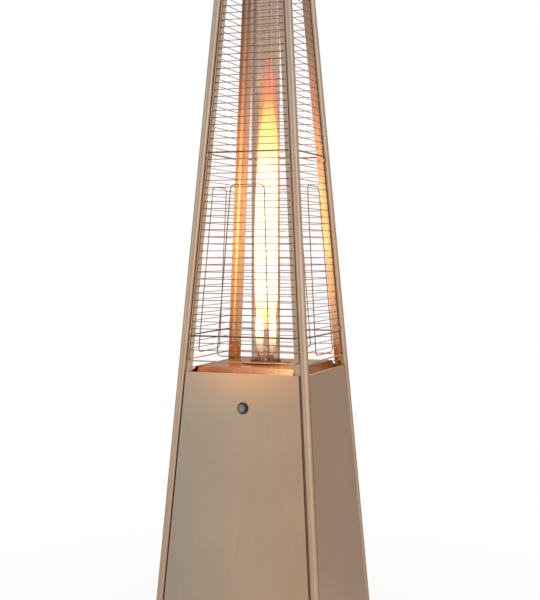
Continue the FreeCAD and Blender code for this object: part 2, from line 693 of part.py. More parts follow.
def make_hinge(label, up, sign):
    """A welded leaf, an ear across the door's end, a washer and the pin it turns on."""
    body = new_body(label, hinge_frame(up))
    back = "(pin_inset - panel_depth)"
    near = f"{sign} * ear_gap"
    leaf = new_sketch(body, "XY_Plane", back)
    draw_box(leaf, "-leaf_left", "leaf_right", near, f"{sign} * leaf_height")
    pad(body, leaf, "panel_sheet")
    ear = new_sketch(body, "XY_Plane", back)
    draw_box(ear, "-leaf_left", "leaf_right", near, f"{sign} * (ear_gap + ear_sheet)")
    pad(body, ear, f"ear_front - {back}")
    upper = sign > 0
    washer = new_sketch(body, "XZ_Plane", f"-({near})")
    draw_circle(washer, "washer_radius")
    pad(body, washer, "ear_gap - washer_gap", down=not upper)
    pin = new_sketch(body, "XZ_Plane", f"-({near})")
    draw_circle(pin, "pin_radius")
    pad(body, pin, "ear_gap + pin_reach", down=not upper)


make_hinge("lower_hinge_pin", "0", -1)
make_hinge("upper_hinge_pin", "panel_length", 1)


def make_magnets():
    """Two catch magnets on the right post's front flange, just behind the door's sheet."""
    thick = number("panel_depth - panel_sheet - magnet_gap")
    wide = number("magnet_width")
    long = number("magnet_length")
    magnet = Part.makeBox(wide, long, thick, Vector(-wide, -long / 2, 0))
    inset = "bead_radius + panel_gap + panel_sheet + magnet_inset"
    heights = ("(panel_bottom + magnet_margin)", "(panel_top - magnet_margin)")
    places = [edge_frame(0, 1, height, inset) for height in heights]
    new_feature("door_magnets", Part.makeCompound(place_all(magnet, places)))


make_magnets()


# ---- Burner deck --------------------------------------------------------------------------

def make_deck():
    """A square plate with a bevelled skirt on each side, open at the corners for the posts."""
    body = new_body("burner_deck", at_height("deck_height"))
    plate = new_sketch(body, "XY_Plane")
    draw_square(plate, "deck_half")
    pad(body, plate, "deck_sheet", down=True)
    slope = "deck_sheet * sqrt(2)"
    edge = "(deck_half + deck_bevel)"
    for plane in ("XZ_Plane", "YZ_Plane"):
        skirts = new_sketch(body, plane, "-deck_bevel_half")
        for side in ("", "-"):
            draw_polygon(skirts, [(f"{side}deck_half", "0"), (f"{side}{edge}", "-deck_bevel"),
                                  (f"{side}{edge}", f"-deck_bevel - {slope}"),
                                  (f"{side}deck_half", f"-{slope}")])
        pad(body, skirts, "2 * deck_bevel_half")
    holes = new_sketch(body, "XY_Plane")
    draw_circle(holes, "deck_hole")
    for x in ("", "-"):
        for y in ("", "-"):
            draw_circle(holes, "tab_bolt_hole", f"{x}deck_tab_bolt", f"{y}deck_tab_bolt")
    cut(body, holes, "2 * deck_sheet")


make_deck()


revolve("seat_gasket", [[
    ("seat_gasket_inner", "0"), ("seat_gasket_outer", "0"), ("seat_gasket_outer", "seat_gasket_height"),
    ("seat_gasket_inner", "seat_gasket_height")]], at_height("deck_height"))

revolve("tube_seat", [[
    ("seat_hole", "0"), ("seat_radius", "0"), ("seat_radius", "seat_sheet"),
    ("collar_outer", "seat_sheet"), ("collar_outer", "seat_sheet + seat_collar"),
    ("collar_inner", "seat_sheet + seat_collar"), ("collar_inner", "seat_sheet"),
    ("seat_hole", "seat_sheet")]], at_height("seat_bottom"))

revolve("glass_tube", [[
    ("glass_radius - glass_wall", "0"), ("glass_radius", "0"), ("glass_radius", "glass_length"),
    ("glass_radius - glass_wall", "glass_length")]], at_height("glass_bottom"))


# ---- Burner -------------------------------------------------------------------------------


PILOT_SET = (("pilot_radius", "0"), ("probe_radius", "-pilot_offset"), ("electrode_radius", "pilot_offset"))


def make_cup():
    """The mixing cup under the deck, with holes in its flange for the pilot set."""
    body = revolve("burner_cup", [[
        ("jet_bore", "-cup_depth"), ("cup_radius", "-cup_depth"), ("cup_radius", "-cup_flange_sheet"),
        ("cup_flange", "-cup_flange_sheet"), ("cup_flange", "0"), ("cup_radius - cup_wall", "0"),
        ("cup_radius - cup_wall", "cup_wall - cup_depth"), ("jet_bore", "cup_wall - cup_depth")]],
        at_height("deck_under"))
    holes = new_sketch(body, "XY_Plane")
    for radius, across in PILOT_SET:
        draw_circle(holes, f"{radius} + pilot_clearance", across, "-pilot_place")
    cut(body, holes, "cup_flange_sheet")


make_cup()


def make_burner_head():
    """A slotted steel cap standing in the cup's mouth, where the gas burns."""
    body = new_body("burner_head", at_height("deck_under"))
    full = "head_height + head_sink + deck_sheet"
    wall = new_sketch(body, "XY_Plane", "-head_sink")
    draw_circle(wall, "head_radius")
    pad(body, wall, full)
    hollow = new_sketch(body, "XY_Plane", "-head_sink")
    draw_circle(hollow, "head_radius - head_wall")
    cut(body, hollow, f"{full} - head_wall", up=True)
    rim = new_sketch(body, "XY_Plane", "-head_sink")
    draw_circle(rim, "cup_radius - cup_wall")
    draw_circle(rim, "head_radius - head_wall")
    pad(body, rim, "head_foot")
    slot = new_sketch(body, "XZ_Plane")
    top = "deck_sheet + head_height - head_wall - port_margin"
    draw_box(slot, "-port_width / 2", "port_width / 2", f"{top} - port_height", top)
    first = cut(body, slot, "head_radius + head_gap")
    ring = body.newObject("PartDesign::PolarPattern", "burner_head_ports")
    ring.Originals = [first]
    ring.Axis = (slot, ["V_Axis"])
    ring.Angle = 360
    ring.setExpression("Occurrences", bound("port_count"))
    body.Tip = ring


make_burner_head()


def bent_path(places, bend):
    """A wire of straight runs joined by tangent arcs of one bend radius."""
    edges = []
    last = places[0]
    for before, corner, after in zip(places, places[1:], places[2:]):
        back = (before - corner).normalize()
        on = (after - corner).normalize()
        half_turn = (math.pi - back.getAngle(on)) / 2
        trim = bend * math.tan(half_turn)
        start = corner + back * trim
        end = corner + on * trim
        middle = corner + (back + on).normalize() * (bend / math.cos(half_turn) - bend)
        edges.append(Part.LineSegment(last, start).toShape())
        edges.append(Part.Arc(start, middle, end).toShape())
        last = end
    edges.append(Part.LineSegment(last, places[-1]).toShape())
    return Part.Wire(edges)


def sweep_round(path, radius):
    start = path.Edges[0].Vertexes[0].Point
    heading = path.Edges[0].tangentAt(path.Edges[0].FirstParameter)
    section = Part.Wire(Part.makeCircle(radius, start, heading))
    return path.makePipeShell([section], True, True)


def knob_point(x, y, z):
    """A point of the control's frame, which sits square to the front face at the knob."""
    return face_frame(0, "knob_height", "knob_offset").multVec(Vector(x, y, z))


CONTROL = face_frame(0, "knob_height", "knob_offset")


def make_pilot_jet():
    """The pilot jet stands on a small plate that is welded to the burner cup."""
    low = number("pilot_low")
    top = number("glass_bottom + pilot_rise")
    place = -number("pilot_place")
    deep = number("plate_depth")
    thick = number("plate_sheet")
    spread = number("pilot_spread")
    jet = Part.makeCylinder(number("pilot_radius"), top - low, Vector(0, place, low))
    hood = Part.makeCylinder(number("pilot_radius + hood_wall"), number("pilot_hood"),
                             Vector(0, place, top - number("pilot_hood")))
    plate = Part.makeBox(2 * spread, deep, thick, Vector(-spread, place - deep / 2, low))
    neck = Part.makeBox(deep, -place - number("cup_radius"), thick, Vector(-deep / 2, place, low))
    shape = jet.fuse([hood, plate, neck])
    for radius, across in PILOT_SET[1:]:
        shape = shape.cut(Part.makeCylinder(number(radius), thick, Vector(number(across), place, low)))
    new_feature("pilot_burner", shape.removeSplitter())


make_pilot_jet()


def make_thermocouple():
    """The flame probe beside the pilot, with its copper lead bent round to the valve's back."""
    low = number("pilot_low - probe_drop")
    top = number("glass_bottom + probe_rise")
    across = -number("pilot_offset")
    place = -number("pilot_place")
    radius = number("probe_radius")
    probe = Part.makeCylinder(radius, top - low, Vector(across, place, low))
    tip = Part.makeSphere(radius, Vector(across, place, top))
    run = number("lead_run")
    socket = number("valve_back")
    route = [Vector(across, place, low), Vector(across, place, low - run),
             knob_point(across, 0, socket - run), knob_point(across, 0, socket)]
    lead = sweep_round(bent_path(route, number("lead_bend")), number("lead_radius"))
    new_feature("thermocouple", probe.fuse([tip, lead]).removeSplitter())


make_thermocouple()


def make_electrode():
    """The spark electrode: a ceramic sleeve with a bare tip beside the pilot."""
    low = number("pilot_low - probe_drop")
    shoulder = number("glass_bottom + spark_shoulder")
    place = Vector(number("pilot_offset"), -number("pilot_place"), 0)
    sleeve = disc(number("electrode_radius"), low, shoulder)
    tip = disc(number("spark_radius"), shoulder, number("glass_bottom + pilot_rise"))
    shape = sleeve.fuse(tip).removeSplitter()
    new_feature("spark_electrode", shape, Placement(place, Rotation()))


make_electrode()


# ---- Gas control --------------------------------------------------------------------------


def make_valve_plate():
    """A joggled plate that hangs from the deck's underside, inside its skirt, and carries the valve."""
    body = new_body("valve_plate", CONTROL)
    back = "valve_front - plate_sheet"
    hang = "(valve_front - plate_shelf)"
    inside = f"({hang} - plate_sheet)"
    end = f"({hang} - plate_tab)"
    shelf = "plate_rise - plate_sheet"

    def under_deck(place, sink="0"):
        return f"deck_up - lean * {place} - {sink}"

    side = new_sketch(body, "YZ_Plane", "-plate_half")
    draw_polygon(side, [
        ("-plate_drop", "valve_front"), ("plate_rise", "valve_front"), ("plate_rise", hang),
        (under_deck(hang), hang), (under_deck(end), end), (under_deck(end, "plate_sheet"), end),
        (under_deck(inside, "plate_sheet"), inside), (shelf, inside), (shelf, back), ("-plate_drop", back)])
    pad(body, side, "2 * plate_half")
    hole = new_sketch(body, "XY_Plane")
    draw_circle(hole, "boss_radius")
    cut(body, hole)


make_valve_plate()


def make_valve():
    """The valve block: a boss through the plate, a chamber for the plug and an outlet on top."""
    body = new_body("valve_body", CONTROL)
    block = new_sketch(body, "XY_Plane", "valve_front - plate_sheet")
    wide = "valve_width / 2"
    tall = "valve_height / 2"
    cut_x = "valve_width / 2 - valve_edge"
    cut_y = "valve_height / 2 - valve_edge"
    draw_polygon(block, [
        (f"-({cut_x})", f"-{tall}"), (cut_x, f"-{tall}"), (wide, f"-({cut_y})"), (wide, cut_y),
        (cut_x, tall), (f"-({cut_x})", tall), (f"-{wide}", cut_y), (f"-{wide}", f"-({cut_y})")])
    pad(body, block, "valve_depth - plate_sheet", down=True)
    boss = new_sketch(body, "XY_Plane", "valve_front")
    draw_circle(boss, "boss_radius")
    pad(body, boss, "plate_sheet", down=True)
    spindle = new_sketch(body, "XY_Plane", "valve_front")
    draw_circle(spindle, "stem_radius + stem_clearance")
    cut(body, spindle, "plug_step")
    chamber = new_sketch(body, "XY_Plane", "valve_back")
    draw_circle(chamber, "plug_radius + stem_clearance")
    cut(body, chamber, "valve_depth - plug_step", up=True)
    outlet = new_sketch(body, "XZ_Plane", f"-({tall})")
    draw_circle(outlet, "outlet_radius", "0", "valve_middle")
    pad(body, outlet, "outlet_length", down=True)
    bore = new_sketch(body, "XZ_Plane", f"-({tall} + outlet_length)")
    draw_circle(bore, "pipe_radius", "0", "valve_middle")
    cut(body, bore, "outlet_length", up=True)


make_valve()


def d_section(item, radius, flat):
    """A round with one flat: the D that keys the knob to the stem."""
    size = number(radius)
    drop = number(flat)
    reach = math.sqrt(size * size - drop * drop)
    angle = math.asin(drop / size)
    round_edge = Part.Circle(Vector(), Vector(0, 0, 1), size)
    arc = Part.ArcOfCircle(round_edge, math.pi - angle, 2 * math.pi + angle)
    line = Part.LineSegment(Vector(reach, drop, 0), Vector(-reach, drop, 0))
    first = item.addGeometry(arc, False)
    second = item.addGeometry(line, False)
    item.addConstraint(Sketcher.Constraint("Coincident", first, 2, second, 1))
    item.addConstraint(Sketcher.Constraint("Coincident", second, 2, first, 1))
    item.addConstraint(Sketcher.Constraint("Coincident", first, 3, -1, 1))
    item.addConstraint(Sketcher.Constraint("Horizontal", second))
    index = item.addConstraint(Sketcher.Constraint("Radius", first, size))
    item.setExpression(f"Constraints[{index}]", bound(radius))
    index = item.addConstraint(Sketcher.Constraint("DistanceY", -1, 1, second, 1, drop))
    item.setExpression(f"Constraints[{index}]", bound(flat))


def make_plug():
    """The gas plug that the stem turns inside the valve, with a keyed bore the stem slides in."""
    body = new_body("valve_plug", CONTROL)
    barrel = new_sketch(body, "XY_Plane", "valve_back + plug_sink")
    draw_circle(barrel, "plug_radius")
    pad(body, barrel, "valve_depth - plug_step - plug_sink - stem_clearance")
    bore = new_sketch(body, "XY_Plane", "plug_front")
    d_section(bore, "stem_radius + stem_clearance", "stem_flat + stem_clearance")
    cut(body, bore, "stem_grip + knob_push + plug_room")


make_plug()


def make_stem():
    body = new_body("valve_stem", CONTROL)
    shaft = new_sketch(body, "XY_Plane", "plug_front - stem_grip")
    d_section(shaft, "stem_radius", "stem_flat")
    pad(body, shaft, "stem_front - plug_front + stem_grip")


make_stem()


def make_knob():
    """A gripped knob with a recessed face and a small raised cap, bored for the stem's D."""
    body = new_body("control_knob", CONTROL)
    grip = new_sketch(body, "XY_Plane", "knob_back")
    draw_circle(grip, "knob_radius")
    pad(body, grip, "knob_front - knob_back")
    face = new_sketch(body, "XY_Plane", "knob_front")
    draw_circle(face, "knob_radius - knob_recess")
    draw_circle(face, "knob_cap_radius")
    cut(body, face, "knob_recess")
    bore = new_sketch(body, "XY_Plane", "knob_back")
    d_section(bore, "stem_radius + stem_clearance", "stem_flat + stem_clearance")
    cut(body, bore, "stem_front - knob_back + stem_clearance", up=True)
    groove = new_sketch(body, "XY_Plane", "knob_front")
    draw_circle(groove, "grip_radius", "0", "knob_radius + grip_radius - grip_depth")
    first = cut(body, groove, "knob_front - panel_depth")
    ring = body.newObject("PartDesign::PolarPattern", "control_knob_grips")
    ring.Originals = [first]
    ring.Axis = (groove, ["N_Axis"])
    ring.Angle = 360
    ring.setExpression("Occurrences", bound("knob_grips"))
    body.Tip = ring


make_knob()


def make_bezel():
    """A trim ring pressed into the door's round window, around the knob."""
    body = new_body("knob_bezel", CONTROL)
    flange = new_sketch(body, "XY_Plane", "panel_depth")
    draw_circle(flange, "bezel_outer")
    draw_circle(flange, "bezel_inner")
    pad(body, flange, "bezel_rise")
    neck = new_sketch(body, "XY_Plane", "panel_depth")
    draw_circle(neck, "bezel_hole")
    draw_circle(neck, "bezel_inner")
    pad(body, neck, "panel_sheet + bezel_rise", down=True)


make_bezel()


def make_gas_pipe():
    """The pipe from the valve's outlet to the jet hole under the burner cup."""
    depth = number("valve_middle")
    seat = knob_point(0, number("valve_height / 2"), depth)
    crest = knob_point(0, number("valve_height / 2 + pipe_climb"), depth)
    mouth = Vector(0, 0, number("deck_under - cup_depth"))
    drop = mouth - Vector(0, 0, number("pipe_run"))
    path = bent_path([seat, crest, drop, mouth], number("pipe_bend"))
    outer = sweep_round(path, number("pipe_radius"))
    new_feature("gas_pipe", outer.cut(sweep_round(path, number("pipe_bore"))))


make_gas_pipe()


def make_inlet():
    """The brass hose tail below the valve: a nut and a ridged barb, bored through."""
    down = Rotation(Vector(1, 0, 0), 90)
    place = Placement(Vector(0, -number("valve_height / 2"), number("valve_middle")), down)
    outline = [("barb_bore", "0"), ("inlet_nut", "0"), ("inlet_nut", "inlet_nut_length"),
               ("tail_radius", "inlet_nut_length")]
    start = "inlet_nut_length + tail_length"
    for ridge in range(round(number("barb_count"))):
        outline += [("tail_radius", f"{start} + barb_pitch * {ridge}"),
                    ("barb_ridge", f"{start} + barb_pitch * {ridge} + barb_slope")]
    end = f"{start} + barb_pitch * barb_count"
    outline += [("tail_radius", end), ("barb_bore", end)]
    revolve("hose_inlet", [outline], CONTROL.multiply(place))


make_inlet()


def make_switch():
    """The tilt switch, a sealed box under the deck that shuts the gas when the heater leans."""
    box = doc.addObject("Part::Box", "tilt_switch")
    box.Label = "tilt_switch"
    box.setExpression("Length", bound("switch_length"))
    box.setExpression("Width", bound("switch_width"))
    box.setExpression("Height", bound("switch_height"))
    box.Placement = at_height("deck_under - switch_height", "-switch_left - switch_length", "-switch_front")
    parts["tilt_switch"] = box


make_switch()


# ---- Wire guards --------------------------------------------------------------------------


def guard_half(up):
    """Distance from the face's middle line to the frame wire's centre."""
    return f"({half_at('guard_bottom')} - taper * ({up}) - bead_radius - guard_gap - frame_wire)"


def rounded_loop(low, high, low_half, high_half, bend, depth, radius):
    """A closed trapezium of round wire with one bend radius at its corners."""
    places = [Vector(0, low, depth), Vector(low_half, low, depth), Vector(high_half, high, depth),
              Vector(-high_half, high, depth), Vector(-low_half, low, depth), Vector(0, low, depth)]
    return sweep_round(bent_path(places, bend), radius)


def cross_wire(half, up, depth, radius):
    return Part.makeCylinder(radius, 2 * half, Vector(-half, up, depth), Vector(1, 0, 0))


def make_guard_shape():
    """A frame wire, level rungs, three heavier bars and an inner stiffening loop, all welded.

    Rungs are centred on the frame wire, and a thicker bar stands out so that it clears the flanges.
    """
    depth = number("frame_wire")
    length = number("guard_length")
    frame = rounded_loop(0, length, number(guard_half("0")), number(guard_half("guard_length")),
                         number("guard_corner"), depth, number("frame_wire"))
    bars = [round(number(rung)) for rung in ("first_bar", "middle_bar", "last_bar")]
    wires = []
    for rung in range(round(number("rung_count"))):
        up = number(f"end_space + rung_pitch * {rung}")
        radius = number("bar_wire" if rung in bars else "rung_wire")
        wires.append(cross_wire(number(guard_half(str(up))), up, max(depth, radius), radius))
    low = number("loop_bottom")
    behind = depth - number("rung_wire + loop_wire - weld_depth")
    wires.append(rounded_loop(low, low + number("loop_height"), number("loop_bottom_half"),
                              number("loop_top_half"), number("loop_corner"), behind, number("loop_wire")))
    return frame.fuse(wires)


guard_shape = make_guard_shape()
for quarter in range(4):
    new_feature(f"guard_{FACES[quarter]}", guard_shape.copy(), face_frame(quarter, "guard_bottom"))


def make_clip(side):
    """A stepped clip: its foot lies on the flange and its nose holds the frame wire down."""
    inset = number("screw_inset")
    nose = inset - number("bead_radius + guard_gap")
    riser = inset - number("bead_radius + guard_gap + 2 * frame_wire + clip_gap")
    back = inset - number("clip_back")
    top = number("2 * frame_wire")
    thin = number("clip_sheet")
    outline = [(back, 0), (riser, 0), (riser, top), (nose, top), (nose, top + thin),
               (riser - thin, top + thin), (riser - thin, thin), (back, thin)]
    length = number("clip_length")
    places = [Vector(side * x, -length / 2, z) for x, z in outline]
    solid = Part.Face(Part.makePolygon(places + places[:1])).extrude(Vector(0, length, 0))
    return solid.cut(disc(number("screw_hole"), 0, thin))


def make_clips():
    clips = []
    for side in (1, -1):
        places = [edge_frame(q, side, height, "screw_inset") for q in range(4) for height in CLIP_HEIGHTS]
        clips += place_all(make_clip(side), places)
    new_feature("guard_clips", Part.makeCompound(clips))


make_clips()


# ---- Screws -------------------------------------------------------------------------------

def flange_places(quarters, heights, lift, inward):
    """Screw frames on both flanges of some faces; inward turns the head to the inside."""
    turn = Rotation(Vector(1, 0, 0), 180) if inward else Rotation()
    shift = Placement(Vector(0, 0, number(lift)), turn)
    return [edge_frame(quarter, side, height, "screw_inset").multiply(shift)
            for quarter in quarters for side in (-1, 1) for height in heights]


def make_screws():
    head = number("screw_head")
    tall = number("screw_head_height")
    shank = number("screw_radius")
    skin = "flange_sheet * rise"
    bracket = f"({skin} + bracket_sheet * rise)"
    panel_screw = screw(head, tall, shank, number(f"{skin} + panel_screw_reach"))
    heights = ["panel_screw_low", "panel_screw_mid", "panel_screw_high"]
    places = flange_places((1, 2, 3), heights, f"-{skin}", True)
    new_feature("panel_screws", Part.makeCompound(place_all(panel_screw, places)))
    clip_screw = screw(head, tall, shank, number("clip_sheet + clip_screw_reach"))
    places = flange_places(range(4), CLIP_HEIGHTS, "clip_sheet", False)
    new_feature("guard_screws", Part.makeCompound(place_all(clip_screw, places)))
    bracket_screw = screw(head, tall, shank, number(bracket))
    heights = ["foot_screw", "deck_screw_low", "deck_screw_high", "top_screw"]
    solids = place_all(bracket_screw, flange_places(range(4), heights, f"-{bracket}", True))
    for plate, place, height in (("deck_sheet", "deck_tab_bolt", "deck_height"),
                                 ("top_sheet", "top_tab_bolt", "post_top + top_sheet")):
        bolt = screw(number("tab_bolt_head"), number("tab_bolt_head_height"), number("tab_bolt_radius"),
                     number(f"bracket_sheet + {plate} + tab_bolt_end"))
        solids += place_all(bolt, four_corners(place, height))
    new_feature("bracket_screws", Part.makeCompound(solids))


make_screws()


# ---- Top plate, tube collar and hood ------------------------------------------------------


def make_top_plate():
    body = new_body("top_plate", at_height("post_top"))
    plate = new_sketch(body, "XY_Plane", "top_sheet")
    draw_square(plate, "top_outer")
    pad(body, plate, "top_rim", down=True)
    hollow = new_sketch(body, "XY_Plane")
    draw_square(hollow, "top_outer - top_sheet")
    cut(body, hollow, "top_rim - top_sheet")
    holes = new_sketch(body, "XY_Plane", "top_sheet")
    draw_circle(holes, "flue_radius")
    for x in ("", "-"):
        for y in ("", "-"):
            draw_circle(holes, "tab_bolt_hole", f"{x}top_tab_bolt", f"{y}top_tab_bolt")
            draw_circle(holes, "stud_radius", f"{x}standoff_place", f"{y}standoff_place")
    cut(body, holes, "top_sheet")


make_top_plate()

revolve("tube_collar", [[
    ("collar_inner", "-collar_drop"), ("collar_outer", "-collar_drop"), ("collar_outer", "-collar_sheet"),
    ("flange_ring", "-collar_sheet"), ("flange_ring", "0"), ("collar_inner", "0")]], at_height("post_top"))


def make_reflector(label, top, half, top_half, fall, vent):
    """A shallow square hat of sheet with a turned-down lip; its flat top rests on the standoffs."""
    body = new_body(label, at_height(top))
    for kind, inset in (("Additive", "0"), ("Subtractive", "hood_sheet")):
        sketches = []
        for size, level in ((top_half, "hood_sheet"), (half, f"hood_sheet - {fall}")):
            item = new_sketch(body, "XY_Plane", f"{level} - {inset}")
            draw_square(item, f"{size} - {inset}")
            sketches.append(item)
        loft = body.newObject(f"PartDesign::{kind}Loft", f"{label}_loft")
        loft.Profile = sketches[0]
        loft.Sections = [sketches[1]]
        loft.Ruled = True
        body.Tip = loft
        doc.recompute()
    lip = new_sketch(body, "XY_Plane", f"hood_sheet - {fall}")
    draw_square(lip, half)
    draw_square(lip, f"{half} - hood_sheet")
    pad(body, lip, "hood_lip", down=True)
    holes = new_sketch(body, "XY_Plane", "hood_sheet")
    if vent:
        draw_circle(holes, vent)
    for x in ("", "-"):
        for y in ("", "-"):
            draw_circle(holes, "stud_radius", f"{x}standoff_place", f"{y}standoff_place")
    cut(body, holes, "2 * hood_sheet")


make_reflector("lower_reflector", "hood_lower", "lower_half", "lower_top_half", "lower_fall", "lower_vent")
make_reflector("upper_reflector", "hood_upper", "upper_half", "upper_top_half", "upper_fall", None)


def make_hood_fixings():
    """Spacer tubes below each reflector, and studs with domed nuts that clamp the stack."""
    outer = number("standoff_radius")
    bore = number("stud_radius")
    solids = []
    for height, start in (("lower_rise", "post_top + top_sheet"),
                          ("upper_rise", "hood_lower + hood_sheet")):
        tall = number(height)
        tube = disc(outer, 0, tall).cut(disc(bore, 0, tall))
        solids += place_all(tube, four_corners("standoff_place", start))
    new_feature("hood_standoffs", Part.makeCompound(solids))
    top = number("hood_upper + hood_sheet")
    low = number("post_top - nut_height")
    nut = disc(number("nut_radius"), 0, number("nut_height"))
    dome = Part.makeSphere(number("nut_dome"), Vector(0, 0, number("nut_height")))
    stud = disc(bore, low - top, 0)
    foot = disc(number("nut_radius"), low - top, number("post_top") - top)
    solid = nut.fuse([dome, stud, foot]).removeSplitter()
    places = four_corners("standoff_place", "hood_upper + hood_sheet")
    new_feature("hood_studs", Part.makeCompound(place_all(solid, places)))


make_hood_fixings()


# ---- Check and write ----------------------------------------------------------------------

doc.recompute()
for item in doc.Objects:
    if "Invalid" in item.State or "Error" in item.State:
        raise RuntimeError(f"{item.Label} failed: {item.State}")
for label, item in parts.items():
    if item.Shape.isNull() or not item.Shape.isValid():
        raise RuntimeError(f"{label} has no valid shape")

os.makedirs("parts", exist_ok=True)
for label, item in parts.items():
    item.Shape.exportStep(f"parts/{label}.step")
print(f"{len(parts)} nodes written")
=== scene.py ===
import math

import bpy
import numpy as np
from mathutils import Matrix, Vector


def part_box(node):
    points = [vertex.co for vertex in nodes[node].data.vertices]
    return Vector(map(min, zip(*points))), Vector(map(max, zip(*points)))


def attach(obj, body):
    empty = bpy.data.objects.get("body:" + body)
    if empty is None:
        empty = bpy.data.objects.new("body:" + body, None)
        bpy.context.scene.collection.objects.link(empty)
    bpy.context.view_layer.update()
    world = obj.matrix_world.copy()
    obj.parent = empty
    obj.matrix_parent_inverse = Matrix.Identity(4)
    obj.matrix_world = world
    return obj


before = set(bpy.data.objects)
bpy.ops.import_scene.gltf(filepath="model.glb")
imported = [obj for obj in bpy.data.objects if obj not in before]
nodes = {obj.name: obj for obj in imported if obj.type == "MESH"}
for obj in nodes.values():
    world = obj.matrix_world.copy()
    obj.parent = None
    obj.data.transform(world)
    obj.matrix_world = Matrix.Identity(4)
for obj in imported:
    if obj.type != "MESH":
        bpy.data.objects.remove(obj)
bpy.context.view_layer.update()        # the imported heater: its bodies, nodes and record
print("loaded", len(nodes), "nodes")

heater = {
    "lean": 0.0722,                      # how far posts and panels come in for each metre of height
    "deckTop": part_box("burner_deck")[1].z,              # what belongs to the fire is measured from here
}
plain = (1.0, 1.0, 1.0, 1.0)             # a tint that changes nothing
noiseLow, noiseHigh = 0.3, 0.7           # most of a noise lies between these


# A colour as it looks on screen, 0 to 255 in each part, turned into the linear colour that a shader takes
# by the screen's own curve: straight near black, and a power above.
def tone(red, green, blue):
    seen = np.array([red, green, blue]) / 255
    linear = np.where(seen <= 0.04045, seen / 12.92, ((seen + 0.055) / 1.055) ** 2.4)
    return (*[float(part) for part in linear], 1.0)


# A grey of one strength, as a colour.
def grey(strength):
    return (strength, strength, strength, 1.0)


# A material with one Principled shader, whose plain sockets take the values given.
def startFinish(name, sockets):
    finish = bpy.data.materials.new(name)
    finish.use_nodes = True
    tree = finish.node_tree
    tree.nodes.clear()
    out = tree.nodes.new("ShaderNodeOutputMaterial")
    shader = tree.nodes.new("ShaderNodeBsdfPrincipled")
    tree.links.new(shader.outputs[0], out.inputs["Surface"])
    for socket, value in sockets.items():
        shader.inputs[socket].default_value = value
    return finish, tree, shader


# Gives a socket a link where there is one, and otherwise a plain value.
def feed(tree, socket, value):
    if isinstance(value, bpy.types.NodeSocket):
        tree.links.new(value, socket)
    else:
        socket.default_value = value


# One maths step between two values or links.
def reckon(tree, step, first, second=0.0):
    node = tree.nodes.new("ShaderNodeMath")
    node.operation = step
    for socket, value in zip(node.inputs, (first, second)):
        feed(tree, socket, value)
    return node.outputs[0]


# All the values given, multiplied together.
def product(tree, first, *others):
    for other in others:
        first = reckon(tree, "MULTIPLY", first, other)
    return first


# A noise turned into a swing of so much either side of nothing.
def swing(tree, noise, reach):
    return reckon(tree, "MULTIPLY", reckon(tree, "SUBTRACT", noise, 0.5), reach)


# The object's own coordinates in metres.
def ownPlace(tree):
    return tree.nodes.new("ShaderNodeTexCoord").outputs["Object"]


# The same, as three separate parts.
def ownParts(tree):
    split = tree.nodes.new("ShaderNodeSeparateXYZ")
    tree.links.new(ownPlace(tree), split.inputs[0])
    return [split.outputs[axis] for axis in "XYZ"]


# The object's own coordinates, with each direction asked for measured from the leaning face instead, so
# that a line drawn along it runs straight up the post or panel: the distance from the middle plane plus the
# lean times the height.
def foldedPlace(tree, foldX, foldY):
    x, y, z = ownParts(tree)
    leanIn = reckon(tree, "MULTIPLY", z, heater["lean"])
    join = tree.nodes.new("ShaderNodeCombineXYZ")
    for axis, across, folded in (("X", x, foldX), ("Y", y, foldY)):
        if folded:
            across = reckon(tree, "ADD", reckon(tree, "ABSOLUTE", across), leanIn)
        tree.links.new(across, join.inputs[axis])
    tree.links.new(z, join.inputs["Z"])
    return join.outputs[0]


# Distance from the heater's upright middle line: the root of x squared plus y squared.
def reachOut(tree):
    squares = [reckon(tree, "POWER", reckon(tree, "ABSOLUTE", part), 2.0) for part in ownParts(tree)[:2]]
    return reckon(tree, "SQRT", reckon(tree, "ADD", *squares))


# Cloudy noise with so many turns to the metre each way; one small number draws it out into brushed lines.
def grain(tree, place, turns, detail=2.0, rough=0.5):
    stretch = tree.nodes.new("ShaderNodeMapping")
    stretch.inputs["Scale"].default_value = turns
    tree.links.new(place, stretch.inputs["Vector"])
    noise = tree.nodes.new("ShaderNodeTexNoise")
    noise.inputs["Scale"].default_value = 1.0
    noise.inputs["Detail"].default_value = detail
    noise.inputs["Roughness"].default_value = rough
    tree.links.new(stretch.outputs[0], noise.inputs["Vector"])
    return noise.outputs["Fac"]


# The same noise with as many turns each way.
def clouds(tree, turns, detail=2.0, rough=0.5):
    return grain(tree, ownPlace(tree), (turns, turns, turns), detail, rough)


# Carries a value from one range to another, held at both ends.
def spread(tree, value, low, high, outLow=0.0, outHigh=1.0):
    node = tree.nodes.new("ShaderNodeMapRange")
    node.clamp = True
    for socket, number in zip(list(node.inputs)[1:5], (low, high, outLow, outHigh)):
        socket.default_value = number
    tree.links.new(value, node.inputs["Value"])
    return node.outputs["Result"]


# A colour that goes through the tones given as its value rises from 0 to 1.
def tones(tree, value, stops):
    ramp = tree.nodes.new("ShaderNodeValToRGB")
    band = ramp.color_ramp.elements
    while len(band) < len(stops):
        band.new(0.5)
    for mark, (at, colour) in zip(band, stops):
        mark.position = at
        mark.color = colour
    tree.links.new(value, ramp.inputs["Fac"])
    return ramp.outputs["Color"]


# Lays one colour over another by a share, mixed or multiplied. A mix node has a set of sockets for each
# kind of value, and inputs 6 and 7 with output 2 are its colours.
def overlay(tree, share, under, over, way="MIX"):
    node = tree.nodes.new("ShaderNodeMix")
    node.data_type = "RGBA"
    node.blend_type = way
    for socket, value in ((node.inputs[0], share), (node.inputs[6], under), (node.inputs[7], over)):
        feed(tree, socket, value)
    return node.outputs[2]


